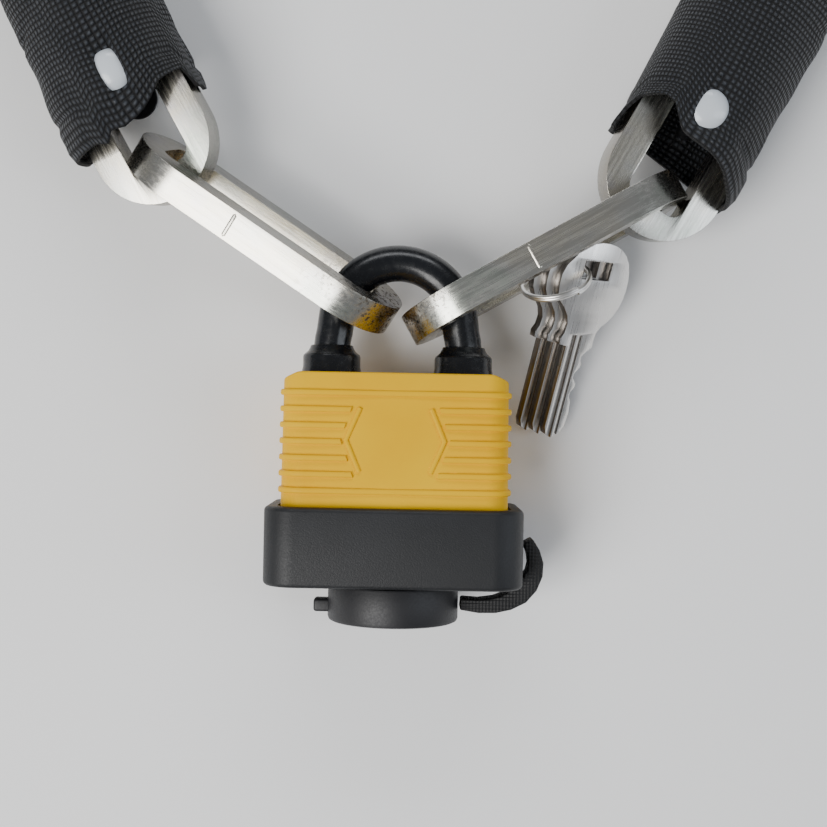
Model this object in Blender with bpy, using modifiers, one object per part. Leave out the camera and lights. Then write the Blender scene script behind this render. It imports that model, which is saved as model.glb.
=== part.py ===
"""Chain lock: a padlock that closes a loop of square-link chain in a fabric sleeve.

Metres, +Z up. The lock lies on its back on the plane z = 0 with its shackle towards +Y.
Heights along the lock (y) are counted from the bottom face of the base bumper, and the whole
assembly is then shifted, so that its origin is at the bottom centre of its bounding box.
"""
import math

import bmesh
import bpy
import numpy as np
from mathutils import Matrix, Vector

MM = 0.001
GAP = 0.3 * MM

# The whole assembly, moved so that the origin is the bottom centre of its bounding box.
ASSEMBLY_SHIFT = Vector((-1.83 * MM, -193.99 * MM, 0.0))

# Lock: the centre plane of lock and chain lies this high above the surface.
MID_Z = 19.0 * MM
BASE_SIZE = (65.0 * MM, 19.8 * MM, 38.0 * MM)
BASE_CORNER = 8.0 * MM
BASE_CUP = (58.7 * MM, 32.7 * MM)
BASE_FLOOR = 2.6 * MM
BOSS_RADIUS = 10.0 * MM
BOSS_DROP = 4.0 * MM
KEYWAY_BORE = 5.4 * MM
COVER_SIZE = (58.0 * MM, 32.0 * MM)
COVER_CORNER = 6.0 * MM
COVER_LOW = 3.0 * MM
COVER_TOP = 53.4 * MM
COVER_WALL = 2.4 * MM
COVER_TOP_SCALE = 0.983
PLATE_SIZE = (52.4 * MM, 26.4 * MM)
PLATE_CORNER = 4.2 * MM
PLATE_LEVELS = {
    "bottom_plate": (2.9 * MM, 6.9 * MM),
    "cylinder_block": (7.2 * MM, 27.4 * MM),
    "middle_block": (27.7 * MM, 37.7 * MM),
    "latch_block": (38.0 * MM, 47.0 * MM),
    "top_plate": (47.3 * MM, 50.7 * MM),
}
RIVET_PLACE = (22.3 * MM, 9.0 * MM)
RIVET_RADIUS = 1.8 * MM
RIVET_HOLE = 2.15 * MM

# Cap over the keyway, and the strap that holds it.
CAP_RADIUS = 16.8 * MM
CAP_LOW = -9.9 * MM
CAP_CAVITY_RADIUS = 10.4 * MM
CAP_CAVITY_FLOOR = -5.0 * MM
CAP_TAB = (4.2 * MM, 3.4 * MM, 5.0 * MM)
CAP_PIVOT = Vector((31.0 * MM, -3.0 * MM, MID_Z))
STRAP_THICKNESS = 2.6 * MM
STRAP_WIDTH = 8.0 * MM
STRAP_ROUTE = [
    (17.8 * MM, -5.2 * MM), (23.0 * MM, -5.6 * MM), (28.5 * MM, -4.9 * MM), (33.0 * MM, -2.4 * MM),
    (35.8 * MM, 1.2 * MM), (36.9 * MM, 5.0 * MM), (36.0 * MM, 8.6 * MM), (34.2 * MM, 11.4 * MM),
]

# Shackle.
BAR_CORE = 3.9 * MM
COAT_INNER = 4.2 * MM
COAT_OUTER = 4.7 * MM
LEG_X = 17.0 * MM
BOW_RADIUS = 16.0 * MM
BOW_CENTRE = Vector((0.0, 66.1 * MM, MID_Z))
BOW_START_DEG = 8.0
BOW_STEPS = 10
LEG_STRAIGHT_TOP = 60.5 * MM
HEEL_LOW = 14.0 * MM
TOE_LOW = 38.2 * MM
COAT_LOW = 53.9 * MM
BORE_RADIUS = 4.5 * MM
HEEL_POCKET_RADIUS = 6.2 * MM
BOOT_LOW = COVER_TOP + GAP
BOOT_SHOULDER = 58.1 * MM
BOOT_TOP = 60.2 * MM
BOOT_RADIUS = 7.6 * MM
BOOT_NECK = 5.7 * MM
BOOT_BORE = 5.0 * MM
CLIP_LEVEL = (20.0 * MM, 21.2 * MM)
CLIP_RADII = (4.2 * MM, 5.7 * MM)
SHACKLE_TRAVEL = 16.0 * MM
NOTCH_LEVEL = (41.2 * MM, 46.4 * MM)
NOTCH_FLOOR_X = 15.4 * MM

# Latch, cam and cylinder.
LATCH_X = (-4.6 * MM, 12.0 * MM)
LATCH_Y = (41.6 * MM, 45.6 * MM)
LATCH_HALF_DEPTH = 3.9 * MM
LATCH_TRAVEL = 3.0 * MM
CHANNEL_LEFT = -11.0 * MM
CHANNEL_HALF = 4.2 * MM
CAM_PIN_PLACE = (-1.5 * MM, -1.5 * MM)
CAM_PIN_RADIUS = 1.1 * MM
CAM_PIN_TOP = 44.6 * MM
CAM_DISC_RADIUS = 3.6 * MM
CAM_DISC = (38.4 * MM, 40.4 * MM)
CAM_SHAFT_RADIUS = 2.0 * MM
CAM_BORE = 2.5 * MM
PLUG_RADIUS = 5.0 * MM
PLUG_LEVEL = (-3.4 * MM, 27.0 * MM)
KEYWAY_HALF_HEIGHT = 4.1 * MM
KEYWAY_HALF_WIDTH = 1.1 * MM
KEYWAY_TOP = 25.0 * MM
HOUSING_RADIUS = 7.0 * MM
HOUSING_HALF_NECK = 3.4 * MM
HOUSING_NECK_TOP = 11.4 * MM
PLUG_BORE = 5.3 * MM
PIN_LEVELS = [11.0 * MM, 15.0 * MM, 19.0 * MM, 23.0 * MM]
PIN_RADIUS = 1.2 * MM
PIN_CHAMBER = 1.5 * MM
PIN_SPAN = (0.9 * MM, 4.6 * MM)

# Chain: links of square bar, with flat and upright links in turn.
BAR = 8.0 * MM
LINK_WIDTH = 32.4 * MM
LINK_LENGTH = 66.0 * MM
LONG_LINK_LENGTH = 79.5 * MM
LINK_CHAMFER = 1.1 * MM
SLOT_CORNER = 3.0 * MM
LINK_COUNT = 15
LINK_PITCH = 47.0 * MM
CROSSING_SLACK = 1.6 * MM
LINK_ROLLS = {1: -13.0, 2: 80.0, 3: -5.0, 13: -4.0, 14: 82.0, 15: -11.0}
LEFT_CROSSING_DEG = 145.0
LEFT_LONG_HEADING = 146.6
LEFT_LONG_ROLL = 74.0
LEFT_BOW_GAP = 1.3 * MM
LEFT_CHAIN_HEADING = 119.6
RIGHT_CROSSING_DEG = 20.0
RIGHT_LONG_HEADING = 29.5
RIGHT_LONG_ROLL = 88.0
RIGHT_BOW_GAP = 1.4 * MM
RIGHT_CHAIN_HEADING = 61.1

# Sleeve: a round fabric tube that narrows in height towards its two mouths.
SLEEVE_RADIUS = 19.0 * MM
SLEEVE_WALL = 1.2 * MM
SLEEVE_MOUTH = 17.0 * MM
SLEEVE_MOUTH_FLATTEN = 0.84
SLEEVE_MOUTH_NARROW = 1.02
SLEEVE_RIVET = 24.0 * MM
SLEEVE_RIVET_RADIUS = 2.5 * MM
SLEEVE_RIVET_HOLE = 3.1 * MM
SLEEVE_CAP_RADIUS = 5.5 * MM
SLEEVE_CAP_HEIGHT = 1.4 * MM
SLEEVE_WASHER_HEIGHT = 0.6 * MM
SLEEVE_SPLITS = [1, 3, 5]

# Keys.
KEY_THICKNESS = 2.2 * MM
KEY_STACK_STEP = 2.6 * MM
KEY_FAN_STEP = 2.2 * MM
KEY_HEADING_DEG = 78.1
KEY_RISE_DEG = 17.0
KEY_LEAN_DEG = 35.0
KEY_SLOT = (9.4 * MM, 5.0 * MM)
RING_PLACE = Vector((47.5 * MM, 82.4 * MM, 17.4 * MM))
RING_RADIUS = 8.7 * MM
RING_WIRE = 0.8 * MM
RING_TRACE = Vector((0.95, 0.31, 0.0)).normalized()

COLLECTION = "chain_lock"


# --- Scene, materials and small helpers -------------------------------------------------------

def clear_scene():
    for old in list(bpy.data.objects):
        bpy.data.objects.remove(old, do_unlink=True)


def make_material(name, colour, roughness, metallic):
    material = bpy.data.materials.new(name)
    material.use_nodes = True
    shader = material.node_tree.nodes["Principled BSDF"]
    shader.inputs["Base Color"].default_value = (*colour, 1.0)
    shader.inputs["Roughness"].default_value = roughness
    shader.inputs["Metallic"].default_value = metallic
    material.diffuse_color = (*colour, 1.0)
    return material


def in_scene(thing):
    """Put a new object in the object's own collection."""
    bpy.data.collections[COLLECTION].objects.link(thing)
    return thing


def add_empty(name, place, parent=None):
    """An empty on a joint's axis. Its place is given in the lock's own frame."""
    empty = in_scene(bpy.data.objects.new(name, None))
    empty.empty_display_size = 10 * MM
    empty["lock_place"] = tuple(place)
    empty.parent = parent
    origin = Vector(parent["lock_place"]) if parent else Vector()
    empty.location = Vector(place) - origin
    return empty


def hang(thing, parent, material):
    """Parent a piece to an empty, keeping its place in the lock's own frame."""
    thing.parent = parent
    thing.location -= Vector(parent["lock_place"])
    thing.data.materials.clear()
    thing.data.materials.append(material)
    thing.data.shade_smooth()
    thing.data.set_sharp_from_angle(angle=math.radians(28))
    return thing


def weld(mesh):
    """Join a mesh's loose caps and turn its faces outwards."""
    work = bmesh.new()
    work.from_mesh(mesh)
    bmesh.ops.remove_doubles(work, verts=work.verts, dist=0.002 * MM)
    bmesh.ops.dissolve_degenerate(work, edges=work.edges, dist=0.001 * MM)
    bmesh.ops.recalc_face_normals(work, faces=work.faces)
    work.to_mesh(mesh)
    work.free()


def as_mesh(source):
    """Replace a curve, or a mesh with modifiers, by the mesh that it evaluates to."""
    bpy.context.view_layer.update()
    graph = bpy.context.evaluated_depsgraph_get()
    mesh = bpy.data.meshes.new_from_object(source.evaluated_get(graph))
    name, place = source.name, source.matrix_world.copy()
    bpy.data.objects.remove(source)
    weld(mesh)
    solid = in_scene(bpy.data.objects.new(name, mesh))
    solid.matrix_world = place
    mesh.name = name
    return solid


def cut(target, *cutters):
    """Take the cutters out of the target, and remove them."""
    for cutter in cutters:
        bpy.context.view_layer.update()
        step = target.modifiers.new("cut", "BOOLEAN")
        step.operation = "DIFFERENCE"
        step.object = cutter
        target = as_mesh(target)
        bpy.data.objects.remove(cutter)
    return target


def join(target, other):
    """Unite two overlapping solids into one body."""
    bpy.context.view_layer.update()
    step = target.modifiers.new("join", "BOOLEAN")
    step.operation = "UNION"
    step.object = other
    target = as_mesh(target)
    bpy.data.objects.remove(other)
    return target


def chamfer(target, width, segments=1):
    step = target.modifiers.new("chamfer", "BEVEL")
    step.width = width
    step.segments = segments
    step.limit_method = "ANGLE"
    step.angle_limit = math.radians(40)
    return as_mesh(target)


# --- Outlines ---------------------------------------------------------------------------------

def arc(centre, radius, start_deg, end_deg, steps):
    """Points on an arc, both ends included."""
    angles = np.radians(np.linspace(start_deg, end_deg, steps + 1))
    return [(centre[0] + radius * math.cos(a), centre[1] + radius * math.sin(a)) for a in angles]


def circle(radius, sides, centre=(0.0, 0.0)):
    return arc(centre, radius, 0.0, 360.0 * (sides - 1) / sides, sides - 1)


def rounded_rectangle(width, height, corner, steps):
    outline = []
    across, up = width / 2 - corner, height / 2 - corner
    for quarter, (sx, sy) in enumerate([(1, 1), (-1, 1), (-1, -1), (1, -1)]):
        start = 90.0 * quarter
        outline += arc((sx * across, sy * up), corner, start, start + 90.0, steps)
    return outline


def stadium(length, width, steps):
    """A slot outline along X, with half-round ends."""
    reach, radius = (length - width) / 2, width / 2
    return arc((reach, 0.0), radius, -90.0, 90.0, steps) + arc((-reach, 0.0), radius, 90.0, 270.0, steps)


# --- Solids -----------------------------------------------------------------------------------

def flat_solid(name, outlines, thickness):
    """A filled flat outline in XY, extruded both ways along Z. Inner outlines are holes."""
    curve = bpy.data.curves.new(name, "CURVE")
    curve.dimensions = "2D"
    curve.fill_mode = "BOTH"
    curve.extrude = thickness / 2
    for outline in outlines:
        spline = curve.splines.new("POLY")
        spline.points.add(len(outline) - 1)
        for point, (x, y) in zip(spline.points, outline):
            point.co = (x, y, 0.0, 1.0)
        spline.use_cyclic_u = True
    return as_mesh(in_scene(bpy.data.objects.new(name, curve)))


def lying(solid, turn_x_deg):
    """Turn a solid's own mesh about X, so that its local Z lies along the lock's Y."""
    solid.data.transform(Matrix.Rotation(math.radians(turn_x_deg), 4, "X"))
    return solid


def layer(name, outlines, low, high):
    """A plate whose outline lies across the lock (x, depth) between two heights along it."""
    plate = lying(flat_solid(name, outlines, high - low), 90.0)
    plate.location = (0.0, (low + high) / 2, MID_Z)
    return plate


def turned(name, profile, steps, closed=False, axis="Y"):
    """A turned shape from (radius, height) points that run from the top down the outside."""
    mesh = bpy.data.meshes.new(name)
    points = [(radius, 0.0, height) for radius, height in profile]
    edges = [(i, i + 1) for i in range(len(points) - 1)]
    if closed:
        edges.append((len(points) - 1, 0))
    mesh.from_pydata(points, edges, [])
    body = in_scene(bpy.data.objects.new(name, mesh))
    step = body.modifiers.new("turn", "SCREW")
    step.steps = steps
    step.render_steps = steps
    step.use_merge_vertices = True
    step.merge_threshold = 0.01 * MM
    body = as_mesh(body)
    if axis == "Y":
        lying(body, -90.0)
    if axis == "X":
        body.data.transform(Matrix.Rotation(math.radians(90.0), 4, "Y"))
    return body


def rod(name, radius, low, high, steps, axis="Y"):
    return turned(name, [(0.0, high), (radius, high), (radius, low), (0.0, low)], steps, axis=axis)


def box(name, low, high):
    """A box between two corners."""
    low, high = Vector(low), Vector(high)
    mesh = bpy.data.meshes.new(name)
    work = bmesh.new()
    bmesh.ops.create_cube(work, size=1.0, matrix=Matrix.Diagonal((*(high - low), 1.0)))
    work.to_mesh(mesh)
    work.free()
    body = in_scene(bpy.data.objects.new(name, mesh))
    body.location = (low + high) / 2
    return body


def tube(name, points, radius, resolution, caps=True, widths=None):
    """A round tube or rod along points."""
    curve = bpy.data.curves.new(name, "CURVE")
    curve.dimensions = "3D"
    curve.bevel_depth = radius
    curve.bevel_resolution = resolution
    curve.use_fill_caps = caps
    curve.twist_mode = "MINIMUM"
    spline = curve.splines.new("POLY")
    spline.points.add(len(points) - 1)
    for number, (point, place) in enumerate(zip(spline.points, points)):
        point.co = (*place, 1.0)
        point.radius = widths[number] if widths else 1.0
    return as_mesh(in_scene(bpy.data.objects.new(name, curve)))


def coil(name, radius, wire, low, high, turns, per_turn):
    """A compression spring along Z, as a rod on a helix."""
    count = turns * per_turn
    points = []
    for i in range(count + 1):
        angle = 2 * math.pi * i / per_turn
        height = low + wire + (high - low - 2 * wire) * i / count
        points.append((radius * math.cos(angle), radius * math.sin(angle), height))
    return tube(name, points, wire, 0)


# --- The lock's body --------------------------------------------------------------------------

def leg_hole(radius, side, sides=12):
    return circle(radius, sides, (side * LEG_X, 0.0))


def rivet_holes():
    across, deep = RIVET_PLACE
    places = [(sx * across, sy * deep) for sx in (-1, 1) for sy in (-1, 1)]
    return [circle(RIVET_HOLE, 8, place) for place in places]


def cylinder_outline(radius, half_neck, neck_top):
    """The cylinder's keyhole section: a round body with the pin stack's neck on top."""
    side = math.degrees(math.asin(half_neck / radius))
    around = arc((0.0, 0.0), radius, 90.0 - side, -270.0 + side, 14)
    return [(half_neck, neck_top)] + around + [(-half_neck, neck_top)]


def latch_channel():
    """The latch's slot, which opens into the bore of the toe leg."""
    side = math.degrees(math.asin(CHANNEL_HALF / BORE_RADIUS))
    around = arc((LEG_X, 0.0), BORE_RADIUS, -180.0 + side, 180.0 - side, 8)
    return [(CHANNEL_LEFT, -CHANNEL_HALF)] + around + [(CHANNEL_LEFT, CHANNEL_HALF)]


def make_plates(parent, steel):
    outline = rounded_rectangle(*PLATE_SIZE, PLATE_CORNER, 3)
    openings = {
        "bottom_plate": [circle(KEYWAY_BORE, 12)],
        "cylinder_block": [
            cylinder_outline(HOUSING_RADIUS + 0.4 * MM, HOUSING_HALF_NECK + 0.4 * MM, HOUSING_NECK_TOP + 0.4 * MM),
            leg_hole(HEEL_POCKET_RADIUS, -1),
        ],
        "middle_block": [circle(CAM_BORE, 10), leg_hole(HEEL_POCKET_RADIUS, -1)],
        "latch_block": [latch_channel(), leg_hole(BORE_RADIUS, -1)],
        "top_plate": [leg_hole(BORE_RADIUS, -1), leg_hole(BORE_RADIUS, 1)],
    }
    for name, (low, high) in PLATE_LEVELS.items():
        hang(layer(name, [outline] + openings[name] + rivet_holes(), low, high), parent, steel)


def make_body_rivets(parent, steel):
    low = PLATE_LEVELS["bottom_plate"][0] + GAP
    high = PLATE_LEVELS["top_plate"][1] - GAP
    across, deep = RIVET_PLACE
    number = 0
    for sx in (-1, 1):
        for sy in (-1, 1):
            number += 1
            rivet = rod(f"body_rivet_{number}", RIVET_RADIUS, low, high, 8)
            rivet.location = (sx * across, 0.0, MID_Z + sy * deep)
            hang(rivet, parent, steel)


def make_base(parent, rubber):
    width, height, depth = BASE_SIZE
    base = layer("base_bumper", [rounded_rectangle(width, depth, BASE_CORNER, 5)], 0.0, height)
    base = chamfer(base, 1.4 * MM)
    cup = rounded_rectangle(*BASE_CUP, COVER_CORNER + 0.35 * MM, 4)
    base = cut(base, layer("cup", [cup], BASE_FLOOR, height + 5 * MM))
    boss = rod("boss", BOSS_RADIUS, -BOSS_DROP, 1.5 * MM, 20)
    boss.location = (0.0, 0.0, MID_Z)
    base = join(base, boss)
    keyway = rod("keyway", KEYWAY_BORE, -BOSS_DROP - 2 * MM, BASE_FLOOR + 2 * MM, 12)
    keyway.location = (0.0, 0.0, MID_Z)
    hang(cut(base, keyway), parent, rubber)


def make_cover(parent, plastic):
    cover = layer("cover_shell", [rounded_rectangle(*COVER_SIZE, COVER_CORNER, 4)], COVER_LOW, COVER_TOP)
    middle = (COVER_LOW + COVER_TOP) / 2
    for vertex in cover.data.vertices:
        if vertex.co.y > 0:
            vertex.co.x *= COVER_TOP_SCALE
            vertex.co.z *= COVER_TOP_SCALE
    cover.location.y = middle
    cover = chamfer(cover, 0.8 * MM)
    inner_size = [side - 2 * COVER_WALL for side in COVER_SIZE]
    inner = rounded_rectangle(*inner_size, COVER_CORNER - COVER_WALL + 1 * MM, 3)
    cover = cut(cover, layer("inside", [inner], COVER_LOW - 5 * MM, COVER_TOP - COVER_WALL))
    for side in (-1, 1):
        hole = rod("hole", BORE_RADIUS, COVER_TOP - 5 * MM, COVER_TOP + 5 * MM, 12)
        hole.location = (side * LEG_X, 0.0, MID_Z)
        cover = cut(cover, hole)
    hang(cover, parent, plastic)


def make_cap(lock, cap_empty, rubber):
    profile = [
        (0.0, CAP_CAVITY_FLOOR), (CAP_CAVITY_RADIUS, CAP_CAVITY_FLOOR), (CAP_CAVITY_RADIUS, -GAP),
        (CAP_RADIUS, -GAP), (CAP_RADIUS, CAP_LOW + 0.5 * MM), (CAP_RADIUS - 0.5 * MM, CAP_LOW), (0.0, CAP_LOW),
    ]
    cap = turned("keyway_cap", profile, 24)
    cap.location = (0.0, 0.0, MID_Z)
    length, height, depth = CAP_TAB
    low = (-CAP_RADIUS - length + 0.6 * MM, -8.0 * MM, MID_Z - depth / 2)
    high = (-CAP_RADIUS + 0.8 * MM, -8.0 * MM + height, MID_Z + depth / 2)
    hang(join(cap, box("tab", low, high)), cap_empty, rubber)

    route = [Vector((x, y)) for x, y in STRAP_ROUTE]
    inner, outer = [], []
    for i, point in enumerate(route):
        along = (route[min(i + 1, len(route) - 1)] - route[max(i - 1, 0)]).normalized()
        across = Vector((-along.y, along.x)) * STRAP_THICKNESS / 2
        inner.append(tuple(point + across))
        outer.append(tuple(point - across))
    strap = flat_solid("cap_strap", [outer + inner[::-1]], STRAP_WIDTH)
    strap.location = (0.0, 0.0, MID_Z)
    hang(strap, lock, rubber)


# --- Shackle ----------------------------------------------------------------------------------

def shackle_path(left_low, right_low):
    """The centreline of the bar, from the foot of one leg over the bow to the other."""
    lean = Vector((LEG_X - 0.45 * MM, 64.3 * MM))
    bow = arc(BOW_CENTRE, BOW_RADIUS, 180.0 - BOW_START_DEG, BOW_START_DEG, BOW_STEPS)
    points = [(-LEG_X, left_low), (-LEG_X, LEG_STRAIGHT_TOP), (-lean.x, lean.y)]
    points += bow
    points += [(lean.x, lean.y), (LEG_X, LEG_STRAIGHT_TOP), (LEG_X, right_low)]
    return [(x, y, MID_Z) for x, y in points]


def make_shackle(lock, shackle, materials):
    core = tube("shackle_core", shackle_path(HEEL_LOW, TOE_LOW), BAR_CORE, 3)
    notch_low = (LEG_X - BAR_CORE - 2 * MM, NOTCH_LEVEL[0], MID_Z - 2 * BAR_CORE)
    notch_high = (NOTCH_FLOOR_X, NOTCH_LEVEL[1], MID_Z + 2 * BAR_CORE)
    hang(cut(core, box("notch", notch_low, notch_high)), shackle, materials["steel"])

    coat = tube("shackle_coat", shackle_path(COAT_LOW, COAT_LOW), COAT_OUTER, 3, caps=False)
    skin = coat.modifiers.new("wall", "SOLIDIFY")
    skin.thickness = COAT_OUTER - COAT_INNER
    skin.offset = -1.0
    hang(as_mesh(coat), shackle, materials["coat"])

    profile = [
        (BOOT_BORE, BOOT_TOP), (BOOT_NECK, BOOT_TOP), (BOOT_RADIUS - 0.6 * MM, BOOT_SHOULDER + 0.5 * MM),
        (BOOT_RADIUS - 0.2 * MM, BOOT_SHOULDER), (BOOT_RADIUS, BOOT_LOW), (BOOT_BORE, BOOT_LOW),
    ]
    for side, name in ((-1, "shackle_boot_left"), (1, "shackle_boot_right")):
        boot = turned(name, profile, 14, closed=True)
        boot.location = (side * LEG_X, 0.0, MID_Z)
        hang(boot, shackle, materials["coat"])

    inner, outer = CLIP_RADII
    low, high = CLIP_LEVEL
    clip = turned("heel_clip", [(inner, high), (outer, high), (outer, low), (inner, low)], 12, closed=True)
    clip.location = (-LEG_X, 0.0, MID_Z)
    hang(clip, shackle, materials["steel"])

    spring = lying(coil("shackle_spring", 3.4 * MM, 0.55 * MM, PLATE_LEVELS["bottom_plate"][1] + GAP,
                        HEEL_LOW - GAP, 4, 10), -90.0)
    spring.location = (-LEG_X, 0.0, MID_Z)
    hang(spring, lock, materials["steel"])


# --- Cylinder, cam and latch ------------------------------------------------------------------

def make_cylinder(lock, plug_empty, materials):
    low, high = PLATE_LEVELS["cylinder_block"]
    outline = cylinder_outline(HOUSING_RADIUS, HOUSING_HALF_NECK, HOUSING_NECK_TOP)
    housing = layer("cylinder_housing", [outline, circle(PLUG_BORE, 16)], low + 0.1 * MM, high - 0.1 * MM)
    for level in PIN_LEVELS:
        chamber = rod("chamber", PIN_CHAMBER, 4.0 * MM, HOUSING_NECK_TOP + 1 * MM, 8, axis="Z")
        chamber.location = (0.0, level, MID_Z)
        housing = cut(housing, chamber)
    hang(housing, lock, materials["brass"])

    plug = rod("plug", PLUG_RADIUS, *PLUG_LEVEL, 16)
    plug.location = (0.0, 0.0, MID_Z)
    slot_low = (-KEYWAY_HALF_HEIGHT, PLUG_LEVEL[0] - 1 * MM, MID_Z - KEYWAY_HALF_WIDTH)
    slot_high = (KEYWAY_HALF_HEIGHT, KEYWAY_TOP, MID_Z + KEYWAY_HALF_WIDTH)
    plug = cut(plug, box("keyway", slot_low, slot_high))
    for level in PIN_LEVELS:
        chamber = rod("chamber", PIN_CHAMBER, 0.5 * MM, PLUG_RADIUS + 1 * MM, 8, axis="X")
        chamber.location = (0.0, level, MID_Z)
        plug = cut(plug, chamber)
    hang(plug, plug_empty, materials["brass"])

    for number, level in enumerate(PIN_LEVELS, start=1):
        near, far = PIN_SPAN
        tip = [(0.0, far), (PIN_RADIUS, far), (PIN_RADIUS, near + 0.7 * MM), (0.5 * MM, near), (0.0, near)]
        pin = turned(f"key_pin_{number}", tip, 8, axis="X")
        pin.location = (0.0, level, MID_Z)
        hang(pin, plug_empty, materials["brass"])


def make_cam(plug_empty, steel):
    low = PLUG_LEVEL[1] + GAP
    disc_low, disc_high = CAM_DISC
    profile = [
        (0.0, disc_high), (CAM_DISC_RADIUS, disc_high), (CAM_DISC_RADIUS, disc_low),
        (CAM_SHAFT_RADIUS, disc_low), (CAM_SHAFT_RADIUS, low), (0.0, low),
    ]
    cam = turned("cam_shaft", profile, 12)
    cam.location = (0.0, 0.0, MID_Z)
    pin = rod("pin", CAM_PIN_RADIUS, disc_high - 0.5 * MM, CAM_PIN_TOP, 8)
    pin.location = (CAM_PIN_PLACE[0], 0.0, MID_Z + CAM_PIN_PLACE[1])
    hang(join(cam, pin), plug_empty, steel)


def make_latch(lock, latch_empty, steel):
    low = (LATCH_X[0], LATCH_Y[0], MID_Z - LATCH_HALF_DEPTH)
    high = (LATCH_X[1], LATCH_Y[1], MID_Z + LATCH_HALF_DEPTH)
    bolt = box("latch_bolt", low, high)
    hole_low = (-3.0 * MM, LATCH_Y[0] - 1 * MM, MID_Z - 3.4 * MM)
    hole_high = (0.0, LATCH_Y[1] + 1 * MM, MID_Z)
    hang(cut(bolt, box("slot", hole_low, hole_high)), latch_empty, steel)

    spring = coil("latch_spring", 2.5 * MM, 0.4 * MM, CHANNEL_LEFT + GAP, LATCH_X[0] - GAP, 4, 8)
    spring.data.transform(Matrix.Rotation(math.radians(90.0), 4, "Y"))
    spring.location = (0.0, sum(LATCH_Y) / 2, MID_Z)
    hang(spring, lock, steel)


# --- Chain ------------------------------------------------------------------------------------

def heading(degrees):
    return Vector((math.cos(math.radians(degrees)), math.sin(math.radians(degrees)), 0.0))


def crossing(degrees):
    """The middle of the shackle's bar at an angle round its bow."""
    return BOW_CENTRE + BOW_RADIUS * heading(degrees)


def long_link_centre(crossing_deg, heading_deg, bow_gap):
    """A long link hangs with the inside of its end against the shackle's bar."""
    inside = crossing(crossing_deg) - (COAT_OUTER + bow_gap) * heading(heading_deg)
    return inside + (LONG_LINK_LENGTH / 2 - BAR) * heading(heading_deg)


def outer_joint(centre, heading_deg, length):
    """The point halfway between a link's end bar and the end bar of the link in it."""
    return centre + (length / 2 - BAR - CROSSING_SLACK / 2) * heading(heading_deg)


def loop_joints():
    """The chain's joints, from the left long link round to the right one.

    Each link turns a little more than the last up to the far end of the loop and then less
    again. Two shape numbers, the peak's sharpness and its lean, close the loop.
    """
    start = outer_joint(LEFT_LONG_CENTRE, LEFT_LONG_HEADING, LONG_LINK_LENGTH)
    end = outer_joint(RIGHT_LONG_CENTRE, RIGHT_LONG_HEADING, LONG_LINK_LENGTH)
    full_turn = LEFT_CHAIN_HEADING - (RIGHT_CHAIN_HEADING - 180.0)
    number = np.arange(1, LINK_COUNT)
    half = LINK_COUNT / 2

    def walk(shape):
        weights = np.sin(np.pi * number / LINK_COUNT) ** shape[0]
        weights = weights * (1 + shape[1] * (number - half) / half)
        turns = full_turn * weights / weights.sum()
        headings = LEFT_CHAIN_HEADING - np.concatenate(([0.0], np.cumsum(turns)))
        steps = LINK_PITCH * np.stack((np.cos(np.radians(headings)), np.sin(np.radians(headings))), axis=1)
        return headings, np.concatenate(([[0.0, 0.0]], np.cumsum(steps, axis=0)))

    target = np.array((end - start)[:2])
    shape = np.array([1.0, 0.0])
    for _ in range(20):
        miss = walk(shape)[1][-1] - target
        slopes = [(walk(shape + step)[1][-1] - target - miss) / 1e-4 for step in 1e-4 * np.eye(2)]
        shape = shape - np.linalg.solve(np.array(slopes).T, miss)
    headings, places = walk(shape)
    return [start + Vector((x, y, 0.0)) for x, y in places], list(headings)


LEFT_LONG_CENTRE = long_link_centre(LEFT_CROSSING_DEG, LEFT_LONG_HEADING, LEFT_BOW_GAP)
RIGHT_LONG_CENTRE = long_link_centre(RIGHT_CROSSING_DEG, RIGHT_LONG_HEADING, RIGHT_BOW_GAP)
JOINTS, HEADINGS = loop_joints()


def make_link(name, length, centre, heading_deg, roll_deg, parent, steel, visible):
    """A link of square bar: a slot outline along X, turned to its heading and rolled about it."""
    steps = 6 if visible else 5
    slot = rounded_rectangle(length - 2 * BAR, LINK_WIDTH - 2 * BAR, SLOT_CORNER, steps // 2)
    outlines = [stadium(length, LINK_WIDTH, steps), slot]
    link = flat_solid(name, outlines, BAR)
    if visible:
        link = chamfer(link, LINK_CHAMFER)
    link.data.transform(Matrix.Rotation(math.radians(roll_deg), 4, "X"))
    link.data.transform(Matrix.Rotation(math.radians(heading_deg), 4, "Z"))
    link.location = centre
    hang(link, parent, steel)


def make_links(empties, steel):
    make_link("long_link_left", LONG_LINK_LENGTH, LEFT_LONG_CENTRE, LEFT_LONG_HEADING, LEFT_LONG_ROLL,
              empties["long_link_left"], steel, True)
    make_link("long_link_right", LONG_LINK_LENGTH, RIGHT_LONG_CENTRE, RIGHT_LONG_HEADING, RIGHT_LONG_ROLL,
              empties["long_link_right"], steel, True)
    for number in range(1, LINK_COUNT + 1):
        centre = (JOINTS[number - 1] + JOINTS[number]) / 2
        roll = LINK_ROLLS.get(number, 0.0 if number % 2 else 90.0)
        make_link(f"link_{number:02d}", LINK_LENGTH, centre, HEADINGS[number - 1], roll,
                  empties[chain_body(number)], steel, number in (1, LINK_COUNT))


def chain_body(number):
    """The stretch of chain that a link moves with, counted from the lock outwards."""
    rank = min(number, LINK_COUNT + 1 - number)
    names = ["chain_near", "chain_low", "chain_high", "chain_far"]
    return names[sum(rank > split for split in SLEEVE_SPLITS)]


def bisector(joint):
    """The direction halfway between the two links that meet at a joint."""
    return heading((HEADINGS[joint - 1] + HEADINGS[joint]) / 2)


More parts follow.
